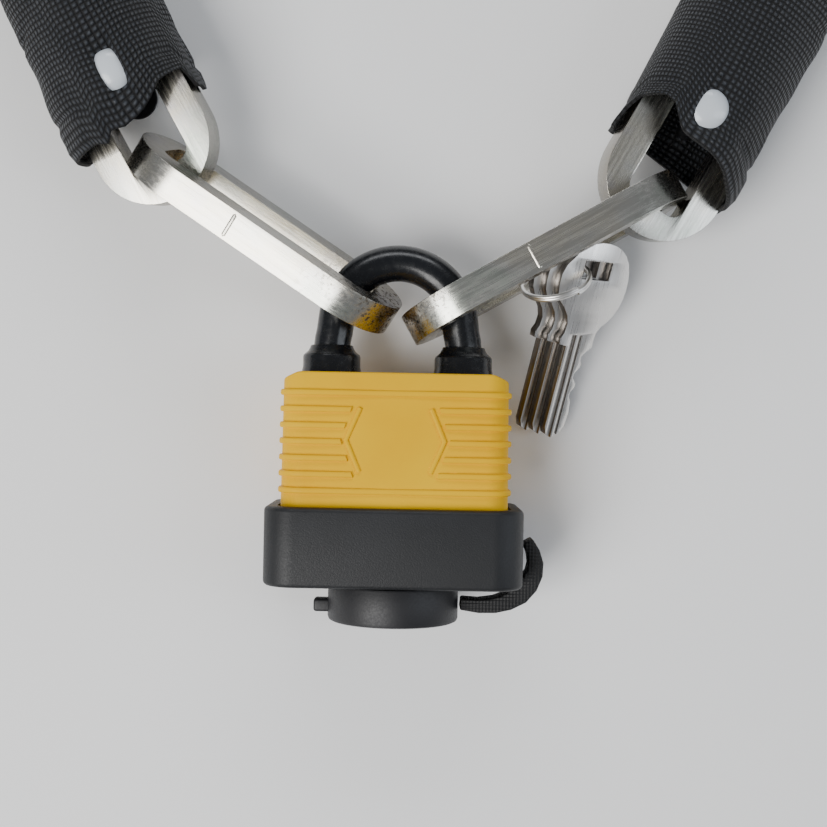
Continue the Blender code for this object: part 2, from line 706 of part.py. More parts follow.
def slice_tube(mesh, place, normal):
    """Cut away the part of an open tube that lies beyond a plane."""
    work = bmesh.new()
    work.from_mesh(mesh)
    everything = list(work.verts) + list(work.edges) + list(work.faces)
    bmesh.ops.bisect_plane(work, geom=everything, dist=0.001 * MM, plane_co=place, plane_no=normal, clear_outer=True)
    work.to_mesh(mesh)
    work.free()


def make_sleeve(name, first, last, parent, fabric):
    """A stretch of sleeve between two joints, mitred where it meets the next stretch."""
    inner = range(max(first, 1), min(last, LINK_COUNT - 1) + 1)
    points = [JOINTS[i] for i in inner]
    widths = [1.0] * len(points)
    ends = []
    if first == 0:
        ends = [mouth_left()]
        points = [ends[0]] + points
        widths = [SLEEVE_MOUTH_NARROW] + widths
    else:
        points = [JOINTS[first - 1]] + points
        widths = [1.0] + widths
    if last == LINK_COUNT:
        ends = [mouth_right()]
        points.append(ends[0])
        widths.append(SLEEVE_MOUTH_NARROW)
    else:
        points.append(JOINTS[last + 1])
        widths.append(1.0)
    sleeve = tube(name, points, SLEEVE_RADIUS, 6, caps=False, widths=widths)
    if first > 0:
        slice_tube(sleeve.data, JOINTS[first] + GAP * bisector(first), -bisector(first))
    if last < LINK_COUNT:
        slice_tube(sleeve.data, JOINTS[last] - GAP * bisector(last), bisector(last))
    skin = sleeve.modifiers.new("wall", "SOLIDIFY")
    skin.thickness = SLEEVE_WALL
    skin.offset = -1.0
    sleeve = as_mesh(sleeve)
    fit_height(sleeve.data, ends[0] if ends else None)
    return hang(sleeve, parent, fabric)


def fit_height(mesh, mouth):
    """Set the tube's height to the sleeve's, lower towards a mouth, where the fabric is flatter."""
    tallest = max(abs(vertex.co.z - MID_Z) for vertex in mesh.vertices)
    reach = LINK_PITCH - SLEEVE_MOUTH
    for vertex in mesh.vertices:
        scale = SLEEVE_RADIUS / tallest
        if mouth is not None:
            away = min(1.0, (vertex.co.xy - mouth.xy).length / reach)
            scale *= SLEEVE_MOUTH_FLATTEN + (1 - SLEEVE_MOUTH_FLATTEN) * away ** 0.8
        vertex.co.z = MID_Z + (vertex.co.z - MID_Z) * scale


def mouth_left():
    return JOINTS[0] + SLEEVE_MOUTH * heading(HEADINGS[0])


def mouth_right():
    return JOINTS[-1] - SLEEVE_MOUTH * heading(HEADINGS[-1])


def make_sleeves(empties, materials):
    fabric = materials["sleeve"]
    near, low, high = SLEEVE_SPLITS
    total = LINK_COUNT
    rivet_left = JOINTS[0] + SLEEVE_RIVET * heading(HEADINGS[0])
    rivet_right = JOINTS[-1] - SLEEVE_RIVET * heading(HEADINGS[-1])
    ends = (("left", 0, near, rivet_left), ("right", total - near, total, rivet_right))
    for side, first, last, place in ends:
        sleeve = make_sleeve(f"sleeve_end_{side}", first, last, empties["chain_near"], fabric)
        make_sleeve_rivet(side, place, sleeve, empties["chain_near"], materials)
    for side, first, last in (("left", near, low), ("right", total - low, total - near)):
        make_sleeve(f"sleeve_low_{side}", first, last, empties["chain_low"], fabric)
    for side, first, last in (("left", low, high), ("right", total - high, total - low)):
        make_sleeve(f"sleeve_high_{side}", first, last, empties["chain_high"], fabric)
    make_sleeve("sleeve_far", high, total - high, empties["chain_far"], fabric)


def make_sleeve_rivet(side, place, sleeve, parent, materials):
    """A snap rivet: its post goes down through the sleeve and the open middle of the link."""
    body_mesh = sleeve.data
    local = place - Vector(parent["lock_place"])
    near = [v.co.z for v in body_mesh.vertices]
    half = (max(near) - min(near)) / 2
    reach = LINK_PITCH - SLEEVE_MOUTH
    away = (SLEEVE_RIVET - SLEEVE_MOUTH) / reach
    half *= SLEEVE_MOUTH_FLATTEN + (1 - SLEEVE_MOUTH_FLATTEN) * away ** 0.8
    hole = rod("hole", SLEEVE_RIVET_HOLE, -2 * SLEEVE_RADIUS, 2 * SLEEVE_RADIUS, 8, axis="Z")
    hole.location = place
    name, fabric = sleeve.name, sleeve.data.materials[0]
    sleeve.location += Vector(parent["lock_place"])
    sleeve.parent = None
    hang(cut(sleeve, hole), parent, fabric).name = name
    top = half + 2 * GAP
    dome = [
        (0.0, top + SLEEVE_CAP_HEIGHT), (0.6 * SLEEVE_CAP_RADIUS, top + 0.85 * SLEEVE_CAP_HEIGHT),
        (SLEEVE_CAP_RADIUS, top + 0.3 * SLEEVE_CAP_HEIGHT), (SLEEVE_CAP_RADIUS, top),
        (SLEEVE_RIVET_RADIUS, top), (SLEEVE_RIVET_RADIUS, -top + 0.6 * MM), (0.0, -top + 0.6 * MM),
    ]
    rivet = turned(f"sleeve_rivet_{side}", dome, 12, axis="Z")
    rivet.location = (local.x + parent["lock_place"][0], local.y + parent["lock_place"][1], MID_Z)
    hang(rivet, parent, materials["rivet"])
    low = [
        (0.0, -top), (SLEEVE_CAP_RADIUS, -top), (SLEEVE_CAP_RADIUS, -top - 0.4 * SLEEVE_WASHER_HEIGHT),
        (0.6 * SLEEVE_CAP_RADIUS, -top - SLEEVE_WASHER_HEIGHT), (0.0, -top - SLEEVE_WASHER_HEIGHT),
    ]
    cap = turned(f"rivet_cap_{side}", low, 12, axis="Z")
    cap.location = rivet.location + Vector(parent["lock_place"])
    hang(cap, parent, materials["rivet"])


# --- Keys -------------------------------------------------------------------------------------

def key_frame():
    """The keys' own axes: X across the blade, Y from tip to head, Z out of the face."""
    rise = math.radians(KEY_RISE_DEG)
    along = heading(KEY_HEADING_DEG) * math.cos(rise) + Vector((0.0, 0.0, math.sin(rise)))
    lean = math.radians(KEY_LEAN_DEG)
    face = heading(KEY_HEADING_DEG - 90.0) * math.sin(lean) + Vector((0.0, 0.0, math.cos(lean)))
    face = (face - along * face.dot(along)).normalized()
    across = along.cross(face)
    return Matrix((across, along, face)).transposed().to_4x4()


def key_outline():
    """A flat key with its slot at the origin: round head, shoulders, and cuts on one edge."""
    head = [(-8.2, 3.2), (-5.2, 6.0), (-0.5, 7.4), (4.6, 6.9), (8.6, 4.6), (11.0, 0.4), (11.6, -4.6)]
    lower = [(10.6, -9.6), (7.8, -13.6), (5.2, -16.4), (4.9, -20.8)]
    cuts = [(2.2, -23.2), (2.5, -26.2), (1.2, -28.2), (2.6, -31.0), (1.5, -33.4), (2.4, -36.0), (2.9, -39.0)]
    tip = [(2.6, -43.2), (-1.2, -46.4), (-4.0, -43.4)]
    back = [(-4.0, -20.6), (-6.4, -19.4), (-5.4, -14.6), (-7.4, -10.4), (-11.2, -6.4), (-11.2, -1.0)]
    return [(x * MM, y * MM) for x, y in head + lower + cuts + tip + back]


def slot_outline():
    across, high = KEY_SLOT[0] / 2, KEY_SLOT[1] / 2
    return [(across, high), (-across, high), (-across, -high), (across, -high)]


def make_keys(empties, materials):
    turn = key_frame()
    for name in KEY_NAMES:
        key = flat_solid(name, [key_outline(), slot_outline()], KEY_THICKNESS)
        key.data.transform(turn)
        key.location = key_place(name)
        hang(key, empties[name], materials["nickel"])

    normal, centre = ring_plane()
    points = arc((0.0, 0.0), RING_RADIUS, 0.0, 360.0, 20)
    profile = arc((RING_RADIUS, 0.0), RING_WIRE, 90.0, -210.0, 5)
    ring = turned("key_ring", profile, len(points) - 1, closed=True, axis="Z")
    ring.data.transform(normal.to_track_quat("Z", "Y").to_matrix().to_4x4())
    ring.location = centre
    hang(ring, empties["key_ring"], materials["nickel"])


KEY_NAMES = ["key_front", "key_middle", "key_back"]


def key_place(name):
    """The slot's centre. The middle key is centred on the ring's wire, the others fan out."""
    across, _, face = [Vector(column[:3]) for column in key_frame().transposed()[:3]]
    rank = 1 - KEY_NAMES.index(name)
    return RING_PLACE + rank * (KEY_STACK_STEP * face + KEY_FAN_STEP * across)


def ring_plane():
    """The split ring's normal and centre: its wire runs square through the keys' faces."""
    face = Vector(key_frame().transposed()[2][:3])
    normal = RING_TRACE.cross(face).normalized()
    if normal.y < 0:
        normal = -normal
    towards = face.cross(normal).normalized()
    if towards.x < 0:
        towards = -towards
    return normal, RING_PLACE - RING_RADIUS * towards


# --- Assembly ---------------------------------------------------------------------------------

def joint_places():
    """Where each moving body's axis is, in the lock's own frame."""
    lift = (crossing(LEFT_CROSSING_DEG) + crossing(RIGHT_CROSSING_DEG)) / 2
    places = {
        "shackle": Vector((0.0, COVER_TOP, MID_Z)),
        "plug": Vector((0.0, 0.0, MID_Z)),
        "latch": Vector((0.0, sum(LATCH_Y) / 2, MID_Z)),
        "cap": CAP_PIVOT,
        "long_link_left": lift,
        "long_link_right": lift,
        "chain_near": (JOINTS[0] + JOINTS[-1]) / 2,
        "chain_low": (JOINTS[1] + JOINTS[-2]) / 2,
        "chain_high": (JOINTS[3] + JOINTS[-4]) / 2,
        "chain_far": (JOINTS[5] + JOINTS[-6]) / 2,
        "key_ring": ring_plane()[1],
    }
    places.update({name: key_place(name) for name in KEY_NAMES})
    return places


PARENTS = {
    "shackle": "lock", "plug": "lock", "latch": "lock", "cap": "lock",
    "long_link_left": "shackle", "long_link_right": "shackle", "chain_near": "long_link_left",
    "chain_low": "chain_near", "chain_high": "chain_low", "chain_far": "chain_high",
    "key_ring": "long_link_right", "key_front": "key_ring", "key_middle": "key_ring", "key_back": "key_ring",
}


def make_materials():
    return {
        "cover": make_material("cover_yellow", (0.86, 0.62, 0.01), 0.42, 0.0),
        "bumper": make_material("bumper_black", (0.035, 0.037, 0.042), 0.6, 0.0),
        "coat": make_material("coat_black", (0.02, 0.021, 0.024), 0.35, 0.0),
        "steel": make_material("inner_steel", (0.55, 0.55, 0.56), 0.4, 1.0),
        "link": make_material("link_zinc", (0.72, 0.71, 0.68), 0.25, 1.0),
        "brass": make_material("cylinder_brass", (0.76, 0.6, 0.3), 0.35, 1.0),
        "sleeve": make_material("sleeve_nylon", (0.012, 0.013, 0.018), 0.85, 0.0),
        "rivet": make_material("rivet_white", (0.78, 0.8, 0.83), 0.3, 0.0),
        "nickel": make_material("key_nickel", (0.78, 0.77, 0.76), 0.22, 1.0),
    }


def main():
    clear_scene()
    collection = bpy.data.collections.get(COLLECTION) or bpy.data.collections.new(COLLECTION)
    if COLLECTION not in bpy.context.scene.collection.children:
        bpy.context.scene.collection.children.link(collection)
    materials = make_materials()

    lock = add_empty("lock_frame", (0.0, 0.0, 0.0))
    empties = {"lock": lock}
    places = joint_places()
    for name, parent in PARENTS.items():
        empties[name] = add_empty(f"{name}_axis", places[name], empties[parent])

    make_cover(lock, materials["cover"])
    make_base(lock, materials["bumper"])
    make_cap(lock, empties["cap"], materials["bumper"])
    make_plates(lock, materials["steel"])
    make_body_rivets(lock, materials["steel"])
    make_shackle(lock, empties["shackle"], materials)
    make_cylinder(lock, empties["plug"], materials)
    make_cam(empties["plug"], materials["steel"])
    make_latch(lock, empties["latch"], materials["steel"])
    make_links(empties, materials["link"])
    make_sleeves(empties, materials)
    make_keys(empties, materials)
    lock.location = ASSEMBLY_SHIFT
    bpy.context.view_layer.update()


main()
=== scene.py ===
# %% [markdown]
# # Chain lock
# A padlock with a yellow cover closes a loop of square chain that runs in a woven sleeve. The
# frame holds the plain engineering parts. Here each part that shows gets its finished surface.

# %% Load the frame
import math

import bpy
import numpy as np
from mathutils import Matrix, Vector, noise


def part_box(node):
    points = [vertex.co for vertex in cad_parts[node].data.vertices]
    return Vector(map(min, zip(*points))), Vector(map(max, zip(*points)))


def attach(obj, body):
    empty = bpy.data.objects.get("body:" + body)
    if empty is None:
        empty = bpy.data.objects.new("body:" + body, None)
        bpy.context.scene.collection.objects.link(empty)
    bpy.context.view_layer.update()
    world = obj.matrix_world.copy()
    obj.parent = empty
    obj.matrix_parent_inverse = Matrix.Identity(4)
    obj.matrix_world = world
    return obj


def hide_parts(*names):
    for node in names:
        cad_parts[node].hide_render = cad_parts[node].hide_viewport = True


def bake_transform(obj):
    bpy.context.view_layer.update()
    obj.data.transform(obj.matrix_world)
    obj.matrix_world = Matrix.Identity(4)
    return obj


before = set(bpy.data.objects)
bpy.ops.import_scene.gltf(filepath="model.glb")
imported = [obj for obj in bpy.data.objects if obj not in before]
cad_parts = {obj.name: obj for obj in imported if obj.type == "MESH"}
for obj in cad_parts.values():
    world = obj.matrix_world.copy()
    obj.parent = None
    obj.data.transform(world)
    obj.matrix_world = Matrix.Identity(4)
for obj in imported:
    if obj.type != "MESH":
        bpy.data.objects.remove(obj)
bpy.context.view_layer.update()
MM = 0.001

# %% [markdown]
# ## Working frame
# All sizes are easier to read from the padlock itself: x from its middle line, y from the bottom
# of its base and z from the table. The cover's box in the frame says where that is.

# %% Where the padlock is
MIDDLE = 19.0
COVER_TOP = 53.4
low_corner, high_corner = [Vector(corner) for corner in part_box("cover_shell")]
LOCK_ORIGIN = Vector(((low_corner.x + high_corner.x) / 2, high_corner.y - COVER_TOP * MM, 0.0))


def lock(x, y, z=MIDDLE):
    """A point given in millimetres from the padlock's own corner."""
    return LOCK_ORIGIN + Vector((x, y, z)) * MM


print("lock origin", [round(v / MM, 2) for v in LOCK_ORIGIN])

# %% [markdown]
# ## Hand tools
# Each piece starts from a primitive, is picked apart by the place of its edges or faces, and is
# finished with modifiers. These small helpers keep those steps short.

# %% Selecting and shaping
def alone(piece):
    """Select one piece and make it active."""
    if bpy.context.object and bpy.context.object.mode != "OBJECT":
        bpy.ops.object.mode_set(mode="OBJECT")
    bpy.ops.object.select_all(action="DESELECT")
    piece.select_set(True)
    bpy.context.view_layer.objects.active = piece


def settle(piece):
    """Put the piece's place, turn and size into its mesh."""
    alone(piece)
    bpy.ops.object.transform_apply(location=True, rotation=True, scale=True)
    return piece


def pick(piece, kind, wanted):
    """Enter edit mode with the vertices, edges or faces that pass a test of their points."""
    alone(piece)
    bpy.ops.object.mode_set(mode="EDIT")
    bpy.ops.mesh.select_mode(type=kind)
    bpy.ops.mesh.select_all(action="DESELECT")
    bpy.ops.object.mode_set(mode="OBJECT")
    mesh = piece.data
    items = {"VERT": mesh.vertices, "EDGE": mesh.edges, "FACE": mesh.polygons}[kind]
    for item in items:
        points = [item.co] if kind == "VERT" else [mesh.vertices[i].co for i in item.vertices]
        item.select = bool(wanted(points))
    bpy.ops.object.mode_set(mode="EDIT")


def done():
    bpy.ops.object.mode_set(mode="OBJECT")


def along(axis):
    """A test for edges that run along one axis."""
    others = [i for i in range(3) if i != axis]
    return lambda points: all(abs(points[0][i] - points[1][i]) < 1e-6 for i in others)


def at_level(axis, value, slack=1e-5):
    """A test for what lies at one level of an axis."""
    return lambda points: all(abs(point[axis] - value) < slack for point in points)


# %% Modifiers and joins
def add_modifier(piece, kind, **settings):
    """Add a modifier, set it and apply it."""
    alone(piece)
    step = piece.modifiers.new(kind.lower(), kind)
    for name, value in settings.items():
        setattr(step, name, value)
    bpy.ops.object.modifier_apply(modifier=step.name)
    return piece


def carve(piece, cutter, how="DIFFERENCE"):
    """Cut a second solid out of the piece, or unite them, and drop the second one."""
    add_modifier(piece, "BOOLEAN", operation=how, object=cutter, solver="EXACT")
    bpy.data.objects.remove(cutter)
    return piece


def put_together(pieces):
    """Join several pieces into the first."""
    alone(pieces[0])
    for piece in pieces[1:]:
        piece.select_set(True)
    bpy.ops.object.join()
    return pieces[0]


def smooth(piece, degrees=35):
    alone(piece)
    bpy.ops.object.shade_smooth_by_angle(angle=math.radians(degrees))
    return piece


def round_edges(piece, width, segments=3, degrees=40):
    """Round every edge that is sharper than an angle."""
    return add_modifier(piece, "BEVEL", width=width, segments=segments, limit_method="ANGLE",
                        angle_limit=math.radians(degrees), harden_normals=False)


# %% Starting shapes
def block(name, low, high):
    """A box between two corners."""
    bpy.ops.object.select_all(action="DESELECT")
    bpy.ops.mesh.primitive_cube_add(size=1, location=(low + high) / 2, scale=high - low)
    bpy.context.object.name = name
    return settle(bpy.context.object)


def rounded_block(name, low, high, corner, segments):
    """A box with its edges along the padlock's length rounded."""
    piece = block(name, low, high)
    pick(piece, "EDGE", along(1))
    bpy.ops.mesh.bevel(offset=corner, segments=segments, affect="EDGES")
    done()
    return piece


def drum(name, centre, radius, depth, sides=48, axis="Y"):
    """A cylinder along one axis."""
    turn = {"X": (0, math.pi / 2, 0), "Y": (math.pi / 2, 0, 0), "Z": (0, 0, 0)}[axis]
    bpy.ops.object.select_all(action="DESELECT")
    bpy.ops.mesh.primitive_cylinder_add(vertices=sides, radius=radius, depth=depth,
                                        location=centre, rotation=turn)
    bpy.context.object.name = name
    return settle(bpy.context.object)


def wire(name, points, radius, resolution=6, closed=False, caps=True):
    """A round bar along points, made a mesh."""
    curve = bpy.data.curves.new(name, "CURVE")
    curve.dimensions = "3D"
    curve.bevel_depth = radius
    curve.bevel_resolution = resolution
    curve.use_fill_caps = caps
    spline = curve.splines.new("POLY")
    spline.points.add(len(points) - 1)
    for point, place in zip(spline.points, points):
        point.co = (*place, 1.0)
    spline.use_cyclic_u = closed
    piece = bpy.data.objects.new(name, curve)
    bpy.context.scene.collection.objects.link(piece)
    alone(piece)
    bpy.ops.object.convert(target="MESH")
    return clean(bpy.context.object)


def flat_shape(name, outlines, thickness):
    """A filled outline with holes, as thick as asked, about the plane z = 0."""
    curve = bpy.data.curves.new(name, "CURVE")
    curve.dimensions = "2D"
    curve.fill_mode = "BOTH"
    curve.extrude = thickness / 2
    for outline in outlines:
        spline = curve.splines.new("POLY")
        spline.points.add(len(outline) - 1)
        for point, (x, y) in zip(spline.points, outline):
            point.co = (x, y, 0.0, 1.0)
        spline.use_cyclic_u = True
    piece = bpy.data.objects.new(name, curve)
    bpy.context.scene.collection.objects.link(piece)
    alone(piece)
    bpy.ops.object.convert(target="MESH")
    return clean(bpy.context.object)


def clean(piece):
    """Merge doubled points and face every face outwards."""
    alone(piece)
    bpy.ops.object.mode_set(mode="EDIT")
    bpy.ops.mesh.select_all(action="SELECT")
    bpy.ops.mesh.remove_doubles(threshold=0.002 * MM)
    bpy.ops.mesh.normals_make_consistent(inside=False)
    done()
    return piece


def turned(name, profile, centre, axis="Y", steps=64):
    """A turned piece: a profile of (radius, height) in millimetres spun round an axis."""
    mesh = bpy.data.meshes.new(name)
    points = [(radius * MM, 0.0, height * MM) for radius, height in profile]
    mesh.from_pydata(points, [(i, i + 1) for i in range(len(points) - 1)], [])
    piece = bpy.data.objects.new(name, mesh)
    bpy.context.scene.collection.objects.link(piece)
    add_modifier(piece, "SCREW", steps=steps, render_steps=steps, use_merge_vertices=True,
                 merge_threshold=0.01 * MM)
    clean(piece)
    if axis == "Y":
        piece.data.transform(Matrix.Rotation(-math.pi / 2, 4, "X"))
    piece.data.transform(Matrix.Translation(centre))
    return piece


def arc(centre, radius, start, end, steps):
    angles = [math.radians(start + (end - start) * i / steps) for i in range(steps + 1)]
    return [(centre[0] + radius * math.cos(a), centre[1] + radius * math.sin(a)) for a in angles]


def finish_piece(piece, name, material, body, *nodes):
    """Name a finished piece, give it its material, tie it to its body, and hide the CAD nodes it stands in
    for.
    """
    piece.name = name
    piece.data.materials.clear()
    piece.data.materials.append(material)
    if body:
        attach(piece, body)
    if nodes:
        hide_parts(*nodes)
    print(name, len(piece.data.polygons), "faces")
    return piece


# %% [markdown]
# ## Camera, floor and light
# The camera hangs straight over the lock, turned by about one degree. A big soft panel at the near
# left, a tall one on the right and a wide low one beyond give the coat and steel bands of light.

# %% Camera
camera_data = bpy.data.cameras.new("camera")
camera_data.sensor_width = 36.0
camera_data.lens = 58.77
camera = bpy.data.objects.new("camera", camera_data)
bpy.context.scene.collection.objects.link(camera)
camera.location = lock(4.4, 43.4, 368)
camera.rotation_euler = (0.0, 0.0, math.radians(1.1))
bpy.context.scene.camera = camera

# %% Floor and lights
bpy.ops.object.select_all(action="DESELECT")
bpy.ops.mesh.primitive_plane_add(size=4.0, location=(0, 0, -0.0002))
floor = bpy.context.object
floor.name = "floor"
floor_paint = bpy.data.materials.new("floor_paper")
floor_paint.use_nodes = True
floor_paint.node_tree.nodes["Principled BSDF"].inputs["Base Color"].default_value = (0.95, 0.95, 0.95, 1)
floor_paint.node_tree.nodes["Principled BSDF"].inputs["Roughness"].default_value = 0.9
floor.data.materials.append(floor_paint)


def soft_light(name, place, target, width, height, power, colour):
    """A rectangular soft light that looks at a point."""
    data = bpy.data.lights.new(name, "AREA")
    data.shape = "RECTANGLE"
    data.size, data.size_y = width, height
    data.energy = power
    data.color = colour
    light = bpy.data.objects.new(name, data)
    light.location = place
    light.rotation_euler = (place - target).to_track_quat("Z", "Y").to_euler()
    bpy.context.scene.collection.objects.link(light)
    return light


middle = lock(0, 50, 20)
soft_light("key_light", middle + Vector((-0.5, -0.35, 0.8)), middle, 0.62, 0.62, 11.0, (1.0, 0.99, 0.97))
soft_light("fill_light", middle + Vector((0.75, -0.05, 0.5)), middle, 0.3, 0.8, 2.2, (0.86, 0.92, 1.0))
soft_light("far_light", middle + Vector((0.0, 0.85, 0.5)), middle, 0.9, 0.25, 3.5, (0.95, 0.97, 1.0))
world = bpy.data.worlds.new("studio")
world.use_nodes = True
world.node_tree.nodes["Background"].inputs["Color"].default_value = (0.92, 0.95, 1.0, 1)
world.node_tree.nodes["Background"].inputs["Strength"].default_value = 0.22
bpy.context.scene.world = world
print("camera and lights set")

# %% [markdown]
# ## Shared effects
# Several finishes need the same effects: fine grain, blotches, drawn streaks and a basket
# weave. Each is a node group that gives a value, so that every material sets its own strength.

# %% Node helpers
def new_group(name, inputs, outputs):
    """A shader node group with its sockets, and its first and last node."""
    group = bpy.data.node_groups.new(name, "ShaderNodeTree")
    for label, kind, value in inputs:
        socket = group.interface.new_socket(label, in_out="INPUT", socket_type=kind)
        if value is not None:
            socket.default_value = value
    for label, kind in outputs:
        group.interface.new_socket(label, in_out="OUTPUT", socket_type=kind)
    return group, group.nodes.new("NodeGroupInput"), group.nodes.new("NodeGroupOutput")


def node(tree, kind, values=None, **settings):
    """A node with its settings, and values or links for its inputs."""
    made = tree.nodes.new("ShaderNode" + kind)
    for name, value in settings.items():
        setattr(made, name, value)
    for key, value in (values or {}).items():
        if isinstance(value, bpy.types.NodeSocket):
            tree.links.new(value, made.inputs[key])
        else:
            made.inputs[key].default_value = value
    return made


def maths(tree, operation, *values, clamp=False):
    return node(tree, "Math", dict(enumerate(values)), operation=operation, use_clamp=clamp).outputs[0]


def remap(tree, value, low, high, to_low=0.0, to_high=1.0):
    """Stretch a value from one span to another, held at the ends."""
    made = node(tree, "MapRange", {"Value": value, "From Min": low, "From Max": high,
                                   "To Min": to_low, "To Max": to_high})
    return made.outputs["Result"]


def blend_colour(tree, factor, first, second, how="MIX"):
    made = node(tree, "Mix", None, data_type="RGBA", blend_type=how)
    for index, value in ((0, factor), (6, first), (7, second)):
        if isinstance(value, bpy.types.NodeSocket):
            tree.links.new(value, made.inputs[index])
        else:
            made.inputs[index].default_value = value
    return made.outputs[2]


# %% Grain and blotches
grain_group, start, end = new_group(
    "surface_grain", [("Vector", "NodeSocketVector", None), ("Scale", "NodeSocketFloat", 2000.0)],
    [("Height", "NodeSocketFloat"), ("Patches", "NodeSocketFloat")])
fine = node(grain_group, "TexNoise", {"Vector": start.outputs["Vector"], "Scale": start.outputs["Scale"],
                                      "Detail": 3.0, "Roughness": 0.6})
large = node(grain_group, "TexNoise", {"Vector": start.outputs["Vector"], "Scale": 55.0, "Detail": 4.0})
grain_group.links.new(fine.outputs["Fac"], end.inputs["Height"])
grain_group.links.new(large.outputs["Fac"], end.inputs["Patches"])

# %% Drawn streaks
streak_group, start, end = new_group(
    "drawn_streaks",
    [("Vector", "NodeSocketVector", None), ("Stretch", "NodeSocketVector", (60.0, 1800.0, 1800.0))],
    [("Streaks", "NodeSocketFloat")])
stretched = node(streak_group, "VectorMath", {0: start.outputs["Vector"], 1: start.outputs["Stretch"]},
                 operation="MULTIPLY")
lines = node(streak_group, "TexNoise", {"Vector": stretched.outputs[0], "Scale": 1.0, "Detail": 4.0,
                                        "Roughness": 0.7})
streak_group.links.new(lines.outputs["Fac"], end.inputs["Streaks"])

# %% [markdown]
# A basket weave is made of square cells. In one cell a thick yarn runs along, in the next one it
# runs across, and each is round. The group gives that height and where the gaps are.

# %% Basket weave
weave_group, start, end = new_group(
    "basket_weave", [("Vector", "NodeSocketVector", None), ("Cell", "NodeSocketFloat", 0.0011)],
    [("Height", "NodeSocketFloat"), ("Gaps", "NodeSocketFloat"), ("Crossways", "NodeSocketFloat")])
parts = node(weave_group, "SeparateXYZ", {"Vector": start.outputs["Vector"]})
u = maths(weave_group, "DIVIDE", parts.outputs["X"], start.outputs["Cell"])
v = maths(weave_group, "DIVIDE", parts.outputs["Y"], start.outputs["Cell"])
cell_sum = maths(weave_group, "ADD", maths(weave_group, "FLOOR", u), maths(weave_group, "FLOOR", v))
crossways = maths(weave_group, "FLOORED_MODULO", cell_sum, 2.0)


def thread(across, run):
    """The height of one thick round yarn that dips under at the cell's two ends."""
    powers = []
    for value, roundness in ((across, 0.5), (run, 0.45)):
        wave = maths(weave_group, "SINE", maths(weave_group, "MULTIPLY", value, math.pi))
        powers.append(maths(weave_group, "POWER", maths(weave_group, "ABSOLUTE", wave), roundness))
    return maths(weave_group, "MULTIPLY", *powers)


height = node(weave_group, "Mix", {0: crossways, 2: thread(u, v), 3: thread(v, u)},
              data_type="FLOAT").outputs[0]
weave_group.links.new(height, end.inputs["Height"])
weave_group.links.new(remap(weave_group, height, 0.3, 0.72, 1.0, 0.0), end.inputs["Gaps"])
weave_group.links.new(crossways, end.inputs["Crossways"])
print("node groups", [group.name for group in bpy.data.node_groups])

# %% Starting a material
def new_material(name, **values):
    """A material, its Principled shader, and its object coordinates."""
    material = bpy.data.materials.new(name)
    material.use_nodes = True
    tree = material.node_tree
    shader = tree.nodes["Principled BSDF"]
    for label, value in values.items():
        shader.inputs[label.replace("_", " ")].default_value = value
    place = tree.nodes.new("ShaderNodeTexCoord").outputs["Object"]
    return material, tree, shader, place


def use_group(tree, group, values):
    made = tree.nodes.new("ShaderNodeGroup")
    made.node_tree = group
    for key, value in values.items():
        if isinstance(value, bpy.types.NodeSocket):
            tree.links.new(value, made.inputs[key])
        else:
            made.inputs[key].default_value = value
    return made


def bump(tree, shader, height, strength, distance):
    made = node(tree, "Bump", {"Height": height, "Strength": strength, "Distance": distance})
    tree.links.new(made.outputs["Normal"], shader.inputs["Normal"])
    return made


# %% [markdown]
# ## Moulded finishes
# The cover is satin golden-yellow plastic with faint scuffs. The bumper is grained rubber, and
# the shackle's coat is smooth black vinyl. All three use the grain group at other strengths.

# %% Yellow cover plastic
yellow, tree, shader, place = new_material("yellow_plastic", Roughness=0.45, Specular_IOR_Level=0.06)
grain = use_group(tree, grain_group, {"Vector": place, "Scale": 1500.0})
scuff = remap(tree, grain.outputs["Patches"], 0.35, 0.7)
tint = blend_colour(tree, scuff, (0.8, 0.44, 0.0, 1), (0.84, 0.49, 0.0, 1))
tree.links.new(tint, shader.inputs["Base Color"])
tree.links.new(remap(tree, grain.outputs["Patches"], 0.3, 0.7, 0.34, 0.48), shader.inputs["Roughness"])
bump(tree, shader, grain.outputs["Height"], 0.12, 0.00008)

# %% Grained rubber and smooth coat
def black_rubber(name, colour, worn, rough, scale, strength):
    """Black rubber or vinyl: grain at its own scale, lighter where it is rubbed."""
    material, tree, shader, place = new_material(name)
    grain = use_group(tree, grain_group, {"Vector": place, "Scale": scale})
    rubbed = remap(tree, grain.outputs["Patches"], 0.45, 0.75)
    tree.links.new(blend_colour(tree, rubbed, (*colour, 1), (*worn, 1)), shader.inputs["Base Color"])
    uneven = remap(tree, grain.outputs["Height"], 0.3, 0.7, rough - 0.06, rough + 0.08)
    tree.links.new(uneven, shader.inputs["Roughness"])
    bump(tree, shader, grain.outputs["Height"], strength, 0.00015)
    return material


bumper_rubber = black_rubber("bumper_rubber", (0.0055, 0.0062, 0.0078), (0.0105, 0.0115, 0.014),
                             0.52, 2600.0, 0.45)
cap_rubber = black_rubber("cap_rubber", (0.012, 0.012, 0.014), (0.018, 0.018, 0.021), 0.5, 1800.0, 0.2)
coat_vinyl = black_rubber("coat_vinyl", (0.006, 0.007, 0.009), (0.01, 0.011, 0.014), 0.24, 700.0, 0.05)

